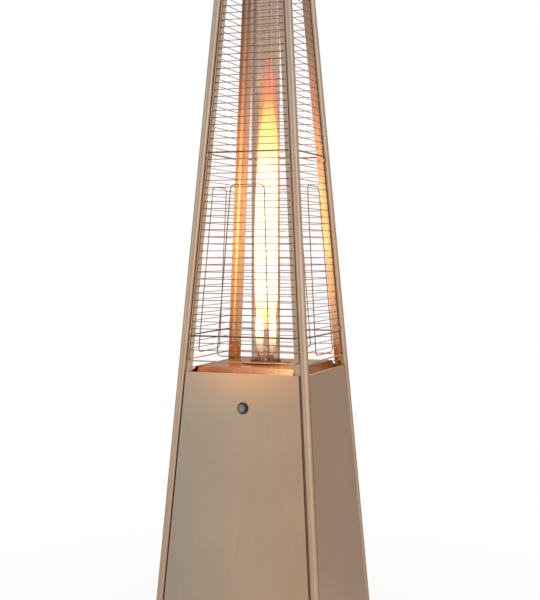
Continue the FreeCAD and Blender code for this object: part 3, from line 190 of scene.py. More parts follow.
# Raises the surface by a height pattern, the depth in metres.
def relief(tree, shader, height, depth):
    bump = tree.nodes.new("ShaderNodeBump")
    bump.inputs["Strength"].default_value = 1.0
    bump.inputs["Distance"].default_value = depth
    tree.links.new(height, bump.inputs["Height"])
    tree.links.new(bump.outputs[0], shader.inputs["Normal"])


brushedSteel = {
    "light": tone(182, 156, 131),        # the steel where the brushing catches light
    "dark": tone(165, 141, 118),
    "metallic": 0.9,
    "linesAcross": 1900.0,               # brushed lines to the metre
    "linesAlong": 9.0,
    "linesThrough": 40.0,                # through a panel's sheet
    "patches": 5.0,                      # slow clouding over a sheet
    "lineShare": 0.65,                   # how much of the pattern is lines, and how much is clouding
    "patchShare": 0.35,
    "gloss": (0.3, 0.44),                # smoothest and roughest
    "lineDepth": 0.000008,
}


# Brushed stainless steel, its lines along one direction of the piece. A tint changes its plain colour, and
# the edge is what it mirrors of a shallow view.
def steelFinish(name, turns, foldX=False, foldY=False, tint=None, gloss=brushedSteel["gloss"], edge=plain):
    finish, tree, shader = startFinish(name, {"Metallic": brushedSteel["metallic"], "Specular Tint": edge})
    place = foldedPlace(tree, foldX, foldY) if foldX or foldY else ownPlace(tree)
    lines = grain(tree, place, turns, detail=3.0, rough=0.65)
    patches = clouds(tree, brushedSteel["patches"], detail=3.0)
    mixed = reckon(tree, "ADD", reckon(tree, "MULTIPLY", lines, brushedSteel["lineShare"]),
                   reckon(tree, "MULTIPLY", patches, brushedSteel["patchShare"]))
    colour = tones(tree, mixed, ((noiseLow, brushedSteel["dark"]), (noiseHigh, brushedSteel["light"])))
    if tint:
        colour = tint(tree, colour)
    tree.links.new(colour, shader.inputs["Base Color"])
    smoothest, roughest = gloss
    rough = spread(tree, mixed, noiseLow, noiseHigh, roughest, smoothest)
    tree.links.new(rough, shader.inputs["Roughness"])
    relief(tree, shader, lines, brushedSteel["lineDepth"])
    return finish


deck = {
    "gloss": (0.18, 0.3),                # smoothest and roughest
    "edge": (0.7, 0.55, 0.45, 1.0),      # what it mirrors of a shallow view
    "patches": 22.0,                     # uneven patches to the metre
    "ringReach": 0.17,                   # where the rings of heat tint have faded, from the middle line
    "ringSwing": 0.35,                   # how far the patches push the rings in and out
    "ringShare": 0.9,                    # how strongly they show
    # the rings going out: rose, bronze, straw, and then the duller steel past them
    "rings": ((0.25, tone(196, 164, 152)), (0.5, tone(214, 170, 138)), (0.72, tone(240, 212, 168)),
              (0.95, (0.76, 0.7, 0.66, 1.0))),
    "foldAt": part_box("burner_deck")[1].x - 0.018,       # the fold between the deck's top and its skirts
    "foldInside": 0.019,                 # how far the painted shade along the fold comes in from it
    "foldInsideFull": 0.0133,            # and how far in it is at its darkest
    "foldOutside": 0.0025,
    "foldOutsideFull": 0.001,
    "foldSwing": 0.004,                  # how far the patches move it
    "foldPaintedShade": tone(66, 40, 26),
    "foldBack": 0.16,                    # this far back from the middle the painted shade is down to half
    "foldBackShare": 0.5,
    "skirtBlend": 0.002,                 # the skirt's tones start over this distance past the front fold
    "skirtShare": 0.9,
    "skirtReach": 0.15,                  # how far to each side the skirt's tones run
    "skirtClears": 0.75,                 # how much of the painted fold shade the skirt's painted reflection takes away
    # the front skirt from left to right: dull, bronze, and a pale straw, a painted reflection of the flame
    # that is brightest at the right end
    "skirt": ((0.18, tone(164, 132, 112)), (0.42, tone(228, 178, 142)), (0.6, tone(228, 178, 142)),
              (0.95, tone(255, 246, 192))),
}


# The straw, bronze and rose rings that heat leaves on the deck, uneven round the burner, with painted shade
# along the side folds and a painted reflection of the flame on the front skirt, from bronze to a pale
# straw.
def deckHeatAndPaintedLight(tree, colour):
    x, y, _ = ownParts(tree)
    uneven = clouds(tree, deck["patches"], detail=3.0)
    out = reckon(tree, "DIVIDE", reachOut(tree), deck["ringReach"])
    rings = tones(tree, reckon(tree, "ADD", out, swing(tree, uneven, deck["ringSwing"])), deck["rings"])
    colour = overlay(tree, deck["ringShare"], colour, rings, "MULTIPLY")
    # painted reflection of the flame on the front skirt, palest at its right end
    skirt = spread(tree, y, deck["skirtBlend"] - deck["foldAt"], -deck["foldAt"])
    skirtPaintedReflection = tones(tree, spread(tree, x, -deck["skirtReach"], deck["skirtReach"]), deck["skirt"])
    colour = overlay(tree, reckon(tree, "MULTIPLY", skirt, deck["skirtShare"]), colour, skirtPaintedReflection)
    # painted shade along the side folds, where a shadow gap falls between the deck's top and its skirts
    past = reckon(tree, "SUBTRACT", reckon(tree, "ABSOLUTE", x), deck["foldAt"])
    past = reckon(tree, "ADD", past, swing(tree, uneven, deck["foldSwing"]))
    fold = product(tree, spread(tree, past, -deck["foldInside"], -deck["foldInsideFull"]),
                   spread(tree, past, deck["foldOutsideFull"], deck["foldOutside"], 1.0, 0.0),
                   spread(tree, y, 0.0, deck["foldBack"], 1.0, deck["foldBackShare"]),
                   reckon(tree, "SUBTRACT", 1.0, reckon(tree, "MULTIPLY", skirt, deck["skirtClears"])))
    return overlay(tree, fold, colour, deck["foldPaintedShade"])


door = {
    "across": 0.2,
    # painted shading: how the sheet's tone drifts from its left edge to its right, darker and cooler to the
    # left
    "drift": ((0.0, (0.8, 0.9, 1.0, 1.0)), (0.5, (0.95, 1.0, 1.01, 1.0)), (1.0, (0.99, 0.92, 0.89, 1.0))),
    "warm": tone(238, 176, 128),         # the painted warm glow of the flame's light under the deck
    "warmFrom": heater["deckTop"] - 0.154,              # it starts here and is full at the sheet's top
    "warmTo": heater["deckTop"] - 0.012,
    "warmCurve": 1.6,                    # over 1, the bloom gathers towards the top
    "warmMiddle": 0.02,                  # how far right of the middle it stands
    "warmFull": 0.03,                    # it is full this far each side,
    "warmEnd": 0.19,                     # and down to its edge share here
    "warmEdge": 0.2,
    "warmShare": 0.7,
}


# Painted light on the front and back sheets: painted shading that drifts across them, and a painted warm
# glow of the flame's light at the top under the burner.
def doorPaintedLight(tree, colour):
    x, _, z = ownParts(tree)
    # painted shading across the sheet, darker and cooler to the left
    drift = tones(tree, spread(tree, x, -door["across"], door["across"]), door["drift"])
    colour = overlay(tree, 1.0, colour, drift, "MULTIPLY")
    # painted glow of the flame's light, gathering towards the sheet's top
    rise = reckon(tree, "POWER", spread(tree, z, door["warmFrom"], door["warmTo"]), door["warmCurve"])
    aside = reckon(tree, "ABSOLUTE", reckon(tree, "SUBTRACT", x, door["warmMiddle"]))
    middle = spread(tree, aside, door["warmFull"], door["warmEnd"], 1.0, door["warmEdge"])
    return overlay(tree, product(tree, rise, middle, door["warmShare"]), colour, door["warm"])


post = {
    "warmTo": heater["deckTop"] + 0.306,                # the posts keep the painted warm light of the flame up to here
    "greyFrom": heater["deckTop"] + 0.806,              # and are painted greyer and cooler from here up
    "grey": (0.92, 0.975, 1.05, 1.0),
}


# Painted light on the posts: warm where the flame's light falls round the burner, going to a greyer, cooler
# tone towards the hood.
def postPaintedLight(tree, colour):
    share = spread(tree, ownParts(tree)[2], post["warmTo"], post["greyFrom"])
    return overlay(tree, share, colour, post["grey"], "MULTIPLY")


wireSteel = {
    "bands": ((0.32, tone(86, 62, 50)), (0.68, tone(132, 98, 78))),
    "frame": tone(176, 144, 116),        # the outer frame is left paler than the shaded rungs
    "frameAt": 0.2352,                   # its inner edge, measured across from the leaning middle line
    "frameBlend": 0.0012,
    "footAt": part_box("guard_front")[0].z + 0.005,       # and the top of its foot
    "footBlend": 0.0005,
    "metallic": 0.9,
    "patches": 60.0,
    "smoothest": 0.3,
    "roughest": 0.5,
    "dieLines": 2500.0,
    "dieDepth": 0.00003,
}


# Drawn wire that has browned in the heat, its rungs also darkened with painted shade for their unlit outer
# sides: blotches along each wire, with fine die lines, and a paler frame.
def wireFinish(name):
    finish, tree, shader = startFinish(name, {"Metallic": wireSteel["metallic"]})
    x, y, z = ownParts(tree)
    blotches = clouds(tree, wireSteel["patches"], detail=4.0, rough=0.6)
    colour = tones(tree, blotches, wireSteel["bands"])
    across = reckon(tree, "MINIMUM", reckon(tree, "ABSOLUTE", x), reckon(tree, "ABSOLUTE", y))
    across = reckon(tree, "ADD", across, reckon(tree, "MULTIPLY", z, heater["lean"]))
    sides = spread(tree, across, wireSteel["frameAt"] - wireSteel["frameBlend"], wireSteel["frameAt"])
    foot = spread(tree, z, wireSteel["footAt"] - wireSteel["footBlend"], wireSteel["footAt"], 1.0, 0.0)
    colour = overlay(tree, reckon(tree, "MAXIMUM", sides, foot), colour, wireSteel["frame"])
    tree.links.new(colour, shader.inputs["Base Color"])
    rough = spread(tree, blotches, noiseLow, noiseHigh, wireSteel["roughest"], wireSteel["smoothest"])
    tree.links.new(rough, shader.inputs["Roughness"])
    relief(tree, shader, clouds(tree, wireSteel["dieLines"]), wireSteel["dieDepth"])
    return finish


# A finish with blotchy colour, uneven gloss and a fine raised grain, for cast, moulded, painted or plated
# pieces.
def mottledFinish(name, recipe):
    finish, tree, shader = startFinish(name, recipe["sockets"])
    blotches = clouds(tree, recipe["patches"], detail=4.0, rough=0.55)
    colour = tones(tree, blotches, ((noiseLow, recipe["dark"]), (noiseHigh, recipe["light"])))
    tree.links.new(colour, shader.inputs["Base Color"])
    rough = spread(tree, blotches, noiseLow, noiseHigh, recipe["roughest"], recipe["smoothest"])
    tree.links.new(rough, shader.inputs["Roughness"])
    relief(tree, shader, clouds(tree, recipe["pips"]), recipe["pipDepth"])
    return finish


metal = {"Metallic": 1.0}
shinyPlastic = {"Specular IOR Level": 0.5}
mottled = {
    "plated_steel": {"light": tone(214, 208, 198), "dark": tone(168, 162, 152), "patches": 120.0,
                     "smoothest": 0.2, "roughest": 0.38, "pips": 1500.0, "pipDepth": 0.00003,
                     "sockets": metal},
    "black_bracket": {"light": tone(146, 104, 78), "dark": tone(80, 54, 36), "patches": 110.0,
                      "smoothest": 0.38, "roughest": 0.55, "pips": 900.0, "pipDepth": 0.00012,
                      "sockets": {"Metallic": 0.4}},
    "rubber": {"light": tone(52, 50, 48), "dark": tone(30, 29, 28), "patches": 90.0,
               "smoothest": 0.7, "roughest": 0.9, "pips": 1400.0, "pipDepth": 0.0001,
               "sockets": {"Specular IOR Level": 0.3}},
    "seal": {"light": tone(74, 62, 52), "dark": tone(42, 36, 32), "patches": 220.0,
             "smoothest": 0.75, "roughest": 0.95, "pips": 900.0, "pipDepth": 0.0003,
             "sockets": {"Specular IOR Level": 0.2}},
    "tyre": {"light": tone(58, 56, 54), "dark": tone(34, 33, 32), "patches": 110.0,
             "smoothest": 0.6, "roughest": 0.85, "pips": 1100.0, "pipDepth": 0.00015,
             "sockets": {"Specular IOR Level": 0.35}},
    "wheel_plastic": {"light": tone(78, 77, 76), "dark": tone(60, 59, 58), "patches": 60.0,
                      "smoothest": 0.42, "roughest": 0.6, "pips": 1600.0, "pipDepth": 0.00006,
                      "sockets": shinyPlastic},
    "knob_metal": {"light": tone(146, 144, 138), "dark": tone(112, 110, 104), "patches": 240.0,
                   "smoothest": 0.3, "roughest": 0.48, "pips": 2400.0, "pipDepth": 0.00004,
                   "sockets": {"Metallic": 0.7}},
    "bezel_plastic": {"light": tone(66, 52, 40), "dark": tone(44, 35, 28), "patches": 200.0,
                      "smoothest": 0.35, "roughest": 0.5, "pips": 2200.0, "pipDepth": 0.00005,
                      "sockets": shinyPlastic},
    "brass": {"light": tone(226, 196, 128), "dark": tone(176, 140, 78), "patches": 130.0,
              "smoothest": 0.2, "roughest": 0.4, "pips": 1800.0, "pipDepth": 0.00003, "sockets": metal},
    "valve_alloy": {"light": tone(190, 190, 186), "dark": tone(146, 146, 142), "patches": 90.0,
                    "smoothest": 0.42, "roughest": 0.62, "pips": 1300.0, "pipDepth": 0.00012,
                    "sockets": metal},
    "magnet": {"light": tone(84, 84, 88), "dark": tone(54, 54, 58), "patches": 260.0,
               "smoothest": 0.4, "roughest": 0.65, "pips": 1500.0, "pipDepth": 0.00006,
               "sockets": {"Metallic": 0.6}},
    "switch_plastic": {"light": tone(62, 62, 62), "dark": tone(46, 46, 46), "patches": 120.0,
                       "smoothest": 0.45, "roughest": 0.6, "pips": 1700.0, "pipDepth": 0.00006,
                       "sockets": shinyPlastic},
    "ceramic": {"light": tone(240, 236, 226), "dark": tone(214, 205, 188), "patches": 260.0,
                "smoothest": 0.14, "roughest": 0.3, "pips": 900.0, "pipDepth": 0.00002,
                "sockets": {"Coat Weight": 0.5, "Coat Roughness": 0.1}},
    "copper": {"light": tone(216, 150, 112), "dark": tone(150, 92, 66), "patches": 150.0,
               "smoothest": 0.24, "roughest": 0.42, "pips": 1600.0, "pipDepth": 0.00003,
               "sockets": metal},
    "burner_steel": {"light": tone(160, 126, 108), "dark": tone(112, 84, 70), "patches": 70.0,
                     "smoothest": 0.34, "roughest": 0.6, "pips": 1400.0, "pipDepth": 0.00006,
                     "sockets": metal},
}

tubeGlass = {
    "bend": 1.47,                        # its index of refraction
    "passed": tone(226, 211, 198),       # what each wall lets through, a little smoked by use
    "edge": tone(208, 152, 116),         # and what a wall seen edgeways lets through
    "edgeFrom": 0.45,                    # how far the look has to turn from square on to start on it
    "edgeFull": 0.85,
    "runs": (60.0, 60.0, 4.0),           # upright runs of haze
    "runsFrom": 0.45,
    "runsFull": 0.8,
    "clearest": 0.0,
    "haziest": 0.05,
}


# Borosilicate glass, faintly hazed in upright runs, browner where it is looked through edgeways.
def glassFinish(name):
    finish, tree, shader = startFinish(name, {"Transmission Weight": 1.0, "IOR": tubeGlass["bend"]})
    facing = tree.nodes.new("ShaderNodeLayerWeight")
    facing.inputs["Blend"].default_value = 0.5
    edge = spread(tree, facing.outputs["Facing"], tubeGlass["edgeFrom"], tubeGlass["edgeFull"])
    tree.links.new(overlay(tree, edge, tubeGlass["passed"], tubeGlass["edge"]), shader.inputs["Base Color"])
    haze = spread(tree, grain(tree, ownPlace(tree), tubeGlass["runs"], detail=3.0), tubeGlass["runsFrom"],
                  tubeGlass["runsFull"], tubeGlass["clearest"], tubeGlass["haziest"])
    tree.links.new(haze, shader.inputs["Roughness"])
    return finish


across, along, through = [brushedSteel[key] for key in ("linesAcross", "linesAlong", "linesThrough")]
finishes = {name: mottledFinish(name + "_finish", recipe) for name, recipe in mottled.items()}
finishes["post_steel"] = steelFinish("post_steel_brushed", (across, across, along), foldX=True,
                                     foldY=True, tint=postPaintedLight)
finishes["deck_steel"] = steelFinish("deck_steel_tinted", (along, across, across), tint=deckHeatAndPaintedLight,
                                     gloss=deck["gloss"], edge=deck["edge"])
finishes["tray_steel"] = steelFinish("tray_steel_brushed", (along, across, across))
finishes["hood_steel"] = steelFinish("hood_steel_brushed", (along, across, across))
finishes["wire_steel"] = wireFinish("wire_steel_drawn")
finishes["glass"] = glassFinish("glass_hazed")
panelFront = steelFinish("panel_steel_front", (across, through, along), foldY=True, tint=doorPaintedLight)
panelSide = steelFinish("panel_steel_side", (through, across, along), foldX=True)

# Pieces that leave their slot's finish for one whose lines suit them.
ownFinish = {
    "front_door": panelFront,
    "back_panel": panelFront,
    "left_panel": panelSide,
    "right_panel": panelSide,
}
for name in ("guard_clips", "guard_screws", "bracket_screws", "upper_hinge_pin", "lower_hinge_pin"):
    ownFinish[name] = finishes["post_steel"]

for name, node in nodes.items():
    for slot in node.material_slots:
        slot.material = ownFinish.get(name) or finishes[slot.material.name]
print("dressed", len(nodes), "nodes in", len(finishes) + 2, "finishes")


# Joins rings of points, given as rows of a grid, into one closed skin. Each ring closes on itself, and the
# first and last rings each close on one middle point.
def skinOfRings(name, rings, finish):
    rows, columns = rings.shape[:2]
    ends = np.array([rings[0].mean(0), rings[-1].mean(0)])
    points = np.concatenate([rings.reshape(-1, 3), ends])
    row, column = np.meshgrid(np.arange(rows - 1), np.arange(columns), indexing="ij")
    following = (column + 1) % columns
    walls = np.stack([row * columns + column, row * columns + following,
                      (row + 1) * columns + following, (row + 1) * columns + column], -1).reshape(-1, 4)
    here = np.arange(columns)
    ahead = (here + 1) % columns
    foot = np.stack([np.full(columns, rows * columns), ahead, here], -1)
    top = np.stack([np.full(columns, rows * columns + 1), (rows - 1) * columns + here,
                    (rows - 1) * columns + ahead], -1)
    mesh = bpy.data.meshes.new(name)
    mesh.from_pydata(points, [], walls.tolist() + foot.tolist() + top.tolist())
    mesh.polygons.foreach_set("use_smooth", np.ones(len(mesh.polygons), bool))
    mesh.materials.append(finish)
    mesh.update()
    piece = bpy.data.objects.new(name, mesh)
    bpy.context.scene.collection.objects.link(piece)
    return piece


flame = {
    "around": 40,                        # points in a ring
    "upward": 100,                       # rings from the foot to the tip
    "smoothings": 4,                     # rounds of evening out the reaches
    # heights above the deck with the reach from the middle there, going up
    "flame_core": {"heights": (0.101, 0.121, 0.146, 0.206, 0.356, 0.506, 0.616, 0.696, 0.741, 0.793, 0.826,
                               0.846),
                   "reaches": (0.002, 0.02, 0.03, 0.035, 0.0355, 0.034, 0.0315, 0.028, 0.023, 0.0145, 0.007,
                               0.001),
                   "lobes": 3, "wave": 0.035, "turns": 1.2},
    "flame_veil": {"heights": (0.056, 0.096, 0.156, 0.356, 0.656, 0.756, 0.816, 0.871, 0.906, 0.956, 0.996),
                   "reaches": (0.02, 0.033, 0.037, 0.0375, 0.0355, 0.0295, 0.025, 0.019, 0.0135, 0.008,
                               0.003),
                   "lobes": 4, "wave": 0.02, "turns": -0.9},
    "flame_jet": {"heights": (0.022, 0.041, 0.066, 0.106, 0.146, 0.176),
                  "reaches": (0.0045, 0.0075, 0.0095, 0.0115, 0.0105, 0.002),
                  "lobes": 2, "wave": 0.08, "turns": 0.7},
    "jets": 4,
    "firstJet": math.radians(62.0),      # where the first jet stands, round from the right
    "jetFoot": 0.021,                    # how far from the middle a jet starts
    "jetReach": 0.0275,                  # and how far out it has swung when it is fully open
    "jetOpens": 0.05,                    # over this height
    "jetClosesFrom": 0.156,              # above here it leans back in,
    "jetCloses": 0.14,                   # as if to meet the middle this much higher,
    "jetClosed": 0.4,                    # but not past this share of its reach
    "sway": 0.0095,                      # how far the tip has drifted from the middle,
    "swayTurn": math.radians(21.0),      # which way, round from the right,
    "swayFrom": 0.156,                   # where it starts
    "swayOver": 0.84,                    # and over what height
    "shiver": 0.001,                     # a slow wave in the middle line
    "shiverPace": 9,                     # with so many radians to the metre
}


# A tongue of fire: rings whose reach follows the heights given, smoothed, and is pushed in and out by a few
# waves that wind round it. The middle line drifts to one side as it rises, with a slow sine on top. With an
# angle, it is a jet, which swings out from its foot that way and leans back in above.
def tongue(name, shape, finish, angle=None):
    climb, turn = np.meshgrid(np.linspace(0, 1, flame["upward"]),
                              np.linspace(0, 2 * np.pi, flame["around"], endpoint=False), indexing="ij")
    low, high = shape["heights"][0], shape["heights"][-1]
    rise = low + (high - low) * climb
    height = heater["deckTop"] + rise
    reach = np.interp(rise, shape["heights"], shape["reaches"])
    for _ in range(flame["smoothings"]):
        reach[1:-1] = (reach[:-2] + 2 * reach[1:-1] + reach[2:]) / 4
    reach = reach * (1 + shape["wave"] * np.sin(shape["lobes"] * turn + shape["turns"] * 2 * np.pi * climb))
    drift = flame["sway"] * np.clip((rise - flame["swayFrom"]) / flame["swayOver"], 0, 1)
    drift = drift + flame["shiver"] * np.sin(flame["shiverPace"] * height)
    middleX, middleY = drift * math.cos(flame["swayTurn"]), drift * math.sin(flame["swayTurn"])
    if angle is not None:
        opened = np.clip((rise - low) / flame["jetOpens"], 0, 1)
        out = flame["jetFoot"] + (flame["jetReach"] - flame["jetFoot"]) * opened * (2 - opened)
        closing = 1 - (rise - flame["jetClosesFrom"]) / flame["jetCloses"]
        out = out * np.clip(closing, flame["jetClosed"], 1)
        middleX, middleY = middleX + out * math.cos(angle), middleY + out * math.sin(angle)
    rings = np.stack([middleX + reach * np.cos(turn), middleY + reach * np.sin(turn), height], -1)
    piece = skinOfRings(name, rings, finish)
    piece.visible_shadow = False
    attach(piece, "tower")
    return piece


fire = {
    "low": heater["deckTop"] + 0.016,    # heights between which the colours run
    "high": heater["deckTop"] + 0.996,
    "licks": (90.0, 90.0, 5.0),          # upright streaks
    "licksFrom": 0.35,
    "licksTo": 0.65,
    "brown": tone(205, 140, 105),
    "rosy": tone(246, 204, 178),
    "orange": tone(255, 158, 92),
    "amber": tone(255, 190, 112),
    "yellow": tone(255, 238, 146),
    "pale": tone(255, 246, 200),
    "white": tone(255, 250, 226),
    "redTip": tone(250, 138, 98),
}

# Up each flame: its colours, how strongly it glows and how thick it is. The streaks thin it by their share,
# and the wander is how far they move all of it up and down.
coreFire = {
    "colours": ((0.08, fire["orange"]), (0.12, fire["yellow"]), (0.2, fire["white"]), (0.6, fire["white"]),
                (0.68, fire["yellow"]), (0.78, fire["yellow"]), (0.85, fire["orange"])),
    "glows": ((0.0, 2.0), (0.14, 4.0), (0.5, 3.8), (0.6, 3.1), (0.68, 2.6), (0.75, 2.0), (0.82, 1.3)),
    "thicknesses": ((0.08, 0.0), (0.13, 0.9), (0.18, 1.0), (0.7, 1.0), (0.77, 0.7), (0.84, 0.1)),
    "streaks": 0.15,
    "wander": 0.08,
}
veilFire = {
    "colours": ((0.02, fire["brown"]), (0.12, fire["orange"]), (0.3, fire["amber"]), (0.66, fire["amber"]),
                (0.8, fire["orange"]), (0.88, fire["redTip"])),
    "glows": ((0.0, 0.9), (0.1, 1.2), (0.3, 1.7), (0.7, 1.7), (0.86, 1.5), (1.0, 1.1)),
    "thicknesses": ((0.0, 0.05), (0.08, 0.2), (0.15, 0.45), (0.7, 0.45), (0.84, 0.42), (0.91, 0.25),
                    (0.975, 0.02)),
    "streaks": 0.4,
    "wander": 0.08,
}
jetFire = {
    "colours": ((0.02, fire["rosy"]), (0.055, fire["pale"]), (0.1, fire["white"])),
    "glows": ((0.0, 1.0), (0.03, 1.2), (0.06, 1.9), (0.1, 3.6)),
    "thicknesses": ((0.004, 0.0), (0.025, 0.3), (0.055, 0.8), (0.08, 1.0), (0.12, 1.0), (0.16, 0.5)),
    "streaks": 0.25,
    "wander": 0.02,
}


# Burning gas: it glows, and lets what is behind it show through, with upright streaks that break it up.
def fireFinish(name, recipe):
    finish, tree, shader = startFinish(name, {"Base Color": grey(0.0), "Roughness": 1.0,
                                              "Specular IOR Level": 0.0})
    licks = grain(tree, ownPlace(tree), fire["licks"], detail=3.0, rough=0.6)
    share = reckon(tree, "ADD", spread(tree, ownParts(tree)[2], fire["low"], fire["high"]),
                   swing(tree, licks, recipe["wander"]))
    tree.links.new(tones(tree, share, recipe["colours"]), shader.inputs["Emission Color"])
    most = max(glow for _, glow in recipe["glows"])
    steps = tones(tree, share, [(at, grey(glow / most)) for at, glow in recipe["glows"]])
    tree.links.new(reckon(tree, "MULTIPLY", steps, most), shader.inputs["Emission Strength"])
    thick = tones(tree, share, [(at, grey(thickness)) for at, thickness in recipe["thicknesses"]])
    broken = spread(tree, licks, fire["licksFrom"], fire["licksTo"], 1.0 - recipe["streaks"], 1.0)
    tree.links.new(reckon(tree, "MULTIPLY", thick, broken), shader.inputs["Alpha"])
    return finish


tongue("flame_core", flame["flame_core"], fireFinish("fire_core", coreFire))
tongue("flame_veil", flame["flame_veil"], fireFinish("fire_veil", veilFire))
jetFinish = fireFinish("fire_jet", jetFire)
for count in range(flame["jets"]):
    angle = flame["firstJet"] + count * 2 * math.pi / flame["jets"]
    tongue(f"flame_jet_{count + 1}", flame["flame_jet"], jetFinish, angle)
nodes["glass_tube"].visible_shadow = False
nodes["glass_tube"].visible_diffuse = False
print("lit the flame")

studio = {
    "sky": 0.62,                         # how strongly the sky lights what isn't a mirror
    # How it looks in a mirror, round from straight behind: a dim warm wall behind, a bright front right and
    # a cool left. Higher up it is cooler.
    "round": ((0.0, (0.6, 0.53, 0.48)), (0.07, (0.56, 0.49, 0.44)), (0.13, (0.68, 0.6, 0.54)),
              (0.19, (0.98, 0.92, 0.87)), (0.27, (1.14, 1.07, 1.0)), (0.36, (1.2, 1.13, 1.07)),
              (0.44, (1.08, 1.04, 1.0)), (0.5, (1.0, 0.96, 0.93)), (0.56, (0.97, 0.96, 0.94)),
              (0.62, (0.86, 0.9, 0.94)), (0.72, (0.76, 0.79, 0.82)), (0.84, (0.72, 0.75, 0.77)),
              (0.95, (0.7, 0.66, 0.62))),
    "high": (0.92, 1.0, 1.17, 1.0),
    "highFrom": 0.08,                    # the slope of a look upwards at which it starts to cool
    "highFull": 0.36,
}


# 1 for what the camera, a mirror or glass looks at, and 0 for light that falls on a dull surface.
def seenDirectly(tree):
    path = tree.nodes.new("ShaderNodeLightPath")
    seen = reckon(tree, "MAXIMUM", path.outputs["Is Camera Ray"], path.outputs["Is Glossy Ray"])
    return reckon(tree, "MAXIMUM", seen, path.outputs["Is Transmission Ray"])


# What a mirror sees of the studio in the direction of x and y: their bearing, as a share of a full turn,
# picks the colour.
def studioSeen(tree, x, y):
    bearing = reckon(tree, "ARCTAN2", x, y)
    share = reckon(tree, "DIVIDE", reckon(tree, "ADD", bearing, 2 * math.pi), 2 * math.pi)
    brightest = max(max(colour) for _, colour in studio["round"])
    stops = [(at, (*[part / brightest for part in colour], 1.0)) for at, colour in studio["round"]]
    walls = tones(tree, reckon(tree, "FRACT", share), stops)
    return overlay(tree, 1.0, walls, grey(brightest), "MULTIPLY")


# The colour in a mirror, and white for all else.
def onlyMirrored(tree, colour):
    path = tree.nodes.new("ShaderNodeLightPath")
    return overlay(tree, path.outputs["Is Glossy Ray"], plain, colour)


# The sky: white to the camera, the studio's walls in a mirror, and an even soft light on the rest.
def hangSky():
    sky = bpy.data.worlds.new("studio_sky")
    bpy.context.scene.world = sky
    sky.use_nodes = True
    tree = sky.node_tree
    tree.nodes.clear()
    out = tree.nodes.new("ShaderNodeOutputWorld")
    light = tree.nodes.new("ShaderNodeBackground")
    way = tree.nodes.new("ShaderNodeSeparateXYZ")
    tree.links.new(tree.nodes.new("ShaderNodeTexCoord").outputs["Generated"], way.inputs[0])
    walls = studioSeen(tree, way.outputs["X"], way.outputs["Y"])
    above = spread(tree, way.outputs["Z"], studio["highFrom"], studio["highFull"])
    walls = overlay(tree, above, walls, overlay(tree, 1.0, walls, studio["high"], "MULTIPLY"))
    tree.links.new(onlyMirrored(tree, walls), light.inputs["Color"])
    tree.links.new(spread(tree, seenDirectly(tree), 0.0, 1.0, studio["sky"], 1.0), light.inputs["Strength"])
    tree.links.new(light.outputs[0], out.inputs["Surface"])


ground = {
    "reach": 30.0,
    "sides": 96,
    "tone": grey(0.9),
    "rough": 0.9,
    "whiteFrom": 0.4,                    # this far out from the heater it starts to whiten
    "whiteFull": 1.6,
    "nearShare": 0.88,                   # how white it is close by, where the shadow falls
}


# A round pale floor, which whitens away from the heater and keeps its shadow close by.
def layFloor():
    finish, tree, shader = startFinish("floor_pale", {"Base Color": ground["tone"],
                                                      "Roughness": ground["rough"],
                                                      "Specular IOR Level": 0.0})
    out = next(node for node in tree.nodes if node.type == "OUTPUT_MATERIAL")
    glow = tree.nodes.new("ShaderNodeEmission")
    x, y, _ = ownParts(tree)
    tree.links.new(onlyMirrored(tree, studioSeen(tree, x, y)), glow.inputs["Color"])
    whitened = spread(tree, reachOut(tree), ground["whiteFrom"], ground["whiteFull"],
                      ground["nearShare"], 1.0)
    mix = tree.nodes.new("ShaderNodeMixShader")
    tree.links.new(reckon(tree, "MULTIPLY", whitened, seenDirectly(tree)), mix.inputs[0])
    tree.links.new(shader.outputs[0], mix.inputs[1])
    tree.links.new(glow.outputs[0], mix.inputs[2])
    tree.links.new(mix.outputs[0], out.inputs["Surface"])
    rim = np.linspace(0, 2 * np.pi, ground["sides"], endpoint=False)
    points = ground["reach"] * np.stack([np.cos(rim), np.sin(rim), np.zeros_like(rim)], -1)
    mesh = bpy.data.meshes.new("studio_floor")
    mesh.from_pydata(points, [], [list(range(len(rim)))])
    mesh.materials.append(finish)
    mesh.update()
    floor = bpy.data.objects.new("studio_floor", mesh)
    bpy.context.scene.collection.objects.link(floor)


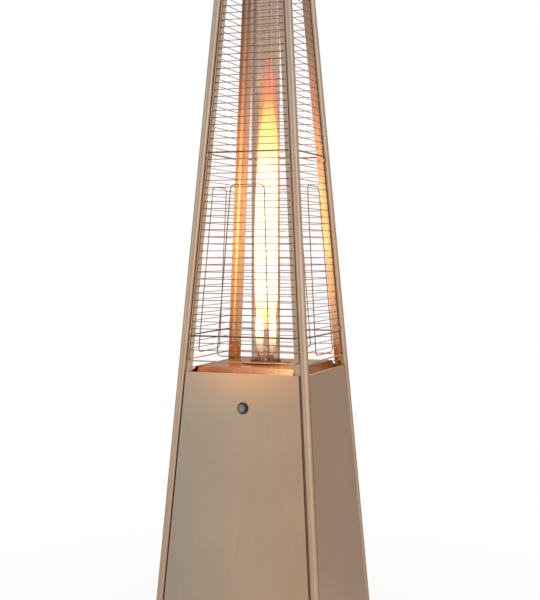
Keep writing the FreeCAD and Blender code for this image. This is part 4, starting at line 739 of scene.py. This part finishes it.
lamps = {
    # where each stands, what it points at, its sides, and its power
    "key": ((3.6, -3.0, 2.4), (0.0, 0.0, 0.9), 3.6, 40.0),
    "fill": ((-3.4, -3.2, 2.2), (0.0, 0.0, 0.9), 3.6, 30.0),
    "back": ((0.6, 4.2, 2.8), (0.0, 0.0, 1.1), 3.6, 26.0),
}
fireLight = {
    # the height above the deck and the power of each lamp up the flame
    "lamps": ((0.076, 0.4), (0.156, 3.6), (0.336, 11.0), (0.516, 10.0), (0.696, 3.9), (0.876, 0.8)),
    "radius": 0.055,
    "warm": tone(255, 197, 126),
    "tip": tone(255, 146, 92),           # the flame's light is redder
    "tipFrom": 0.656,                    # above this height
}


# A lamp on its own stand, which the camera doesn't see.
def standLamp(name, kind, power, place):
    lamp = bpy.data.lights.new(name, kind)
    lamp.energy = power
    stand = bpy.data.objects.new(name, lamp)
    stand.location = place
    stand.visible_camera = False
    bpy.context.scene.collection.objects.link(stand)
    return lamp, stand


hangSky()
layFloor()
for name, (place, aim, side, power) in lamps.items():
    lamp, stand = standLamp(name, "AREA", power, place)
    lamp.shape = "SQUARE"
    lamp.size = side
    stand.rotation_euler = (Vector(aim) - Vector(place)).to_track_quat("-Z", "Y").to_euler()
for count, (height, power) in enumerate(fireLight["lamps"]):
    lamp, stand = standLamp(f"fire_{count + 1}", "POINT", power, (0.0, 0.0, heater["deckTop"] + height))
    lamp.shadow_soft_size = fireLight["radius"]
    lamp.color = fireLight["tip" if height > fireLight["tipFrom"] else "warm"][:3]
    stand.visible_transmission = False
print("lit the studio")

view = {
    "turn": math.radians(20.84),         # how far to the right of straight ahead
    "away": 3.604,
    "height": 1.188,
    "lens": 70.3,
    "film": 36.0,                        # its width, in millimetres as the lens is
    "farthest": 100.0,
    "shiftX": 0.0070,
    "shiftY": -0.0817,
}


# The camera: level, turned to face the heater's middle line, and shifted down instead of tilted.
def placeCamera():
    lens = bpy.data.cameras.new("camera")
    lens.lens = view["lens"]
    lens.sensor_width = view["film"]
    lens.shift_x = view["shiftX"]
    lens.shift_y = view["shiftY"]
    lens.clip_end = view["farthest"]
    camera = bpy.data.objects.new("camera", lens)
    camera.location = (view["away"] * math.sin(view["turn"]), -view["away"] * math.cos(view["turn"]),
                       view["height"])
    camera.rotation_euler = (math.pi / 2, 0.0, view["turn"])
    bpy.context.scene.collection.objects.link(camera)
    bpy.context.scene.camera = camera


placeCamera()
bpy.context.scene.view_settings.view_transform = "Standard"

bpy.context.view_layer.update()
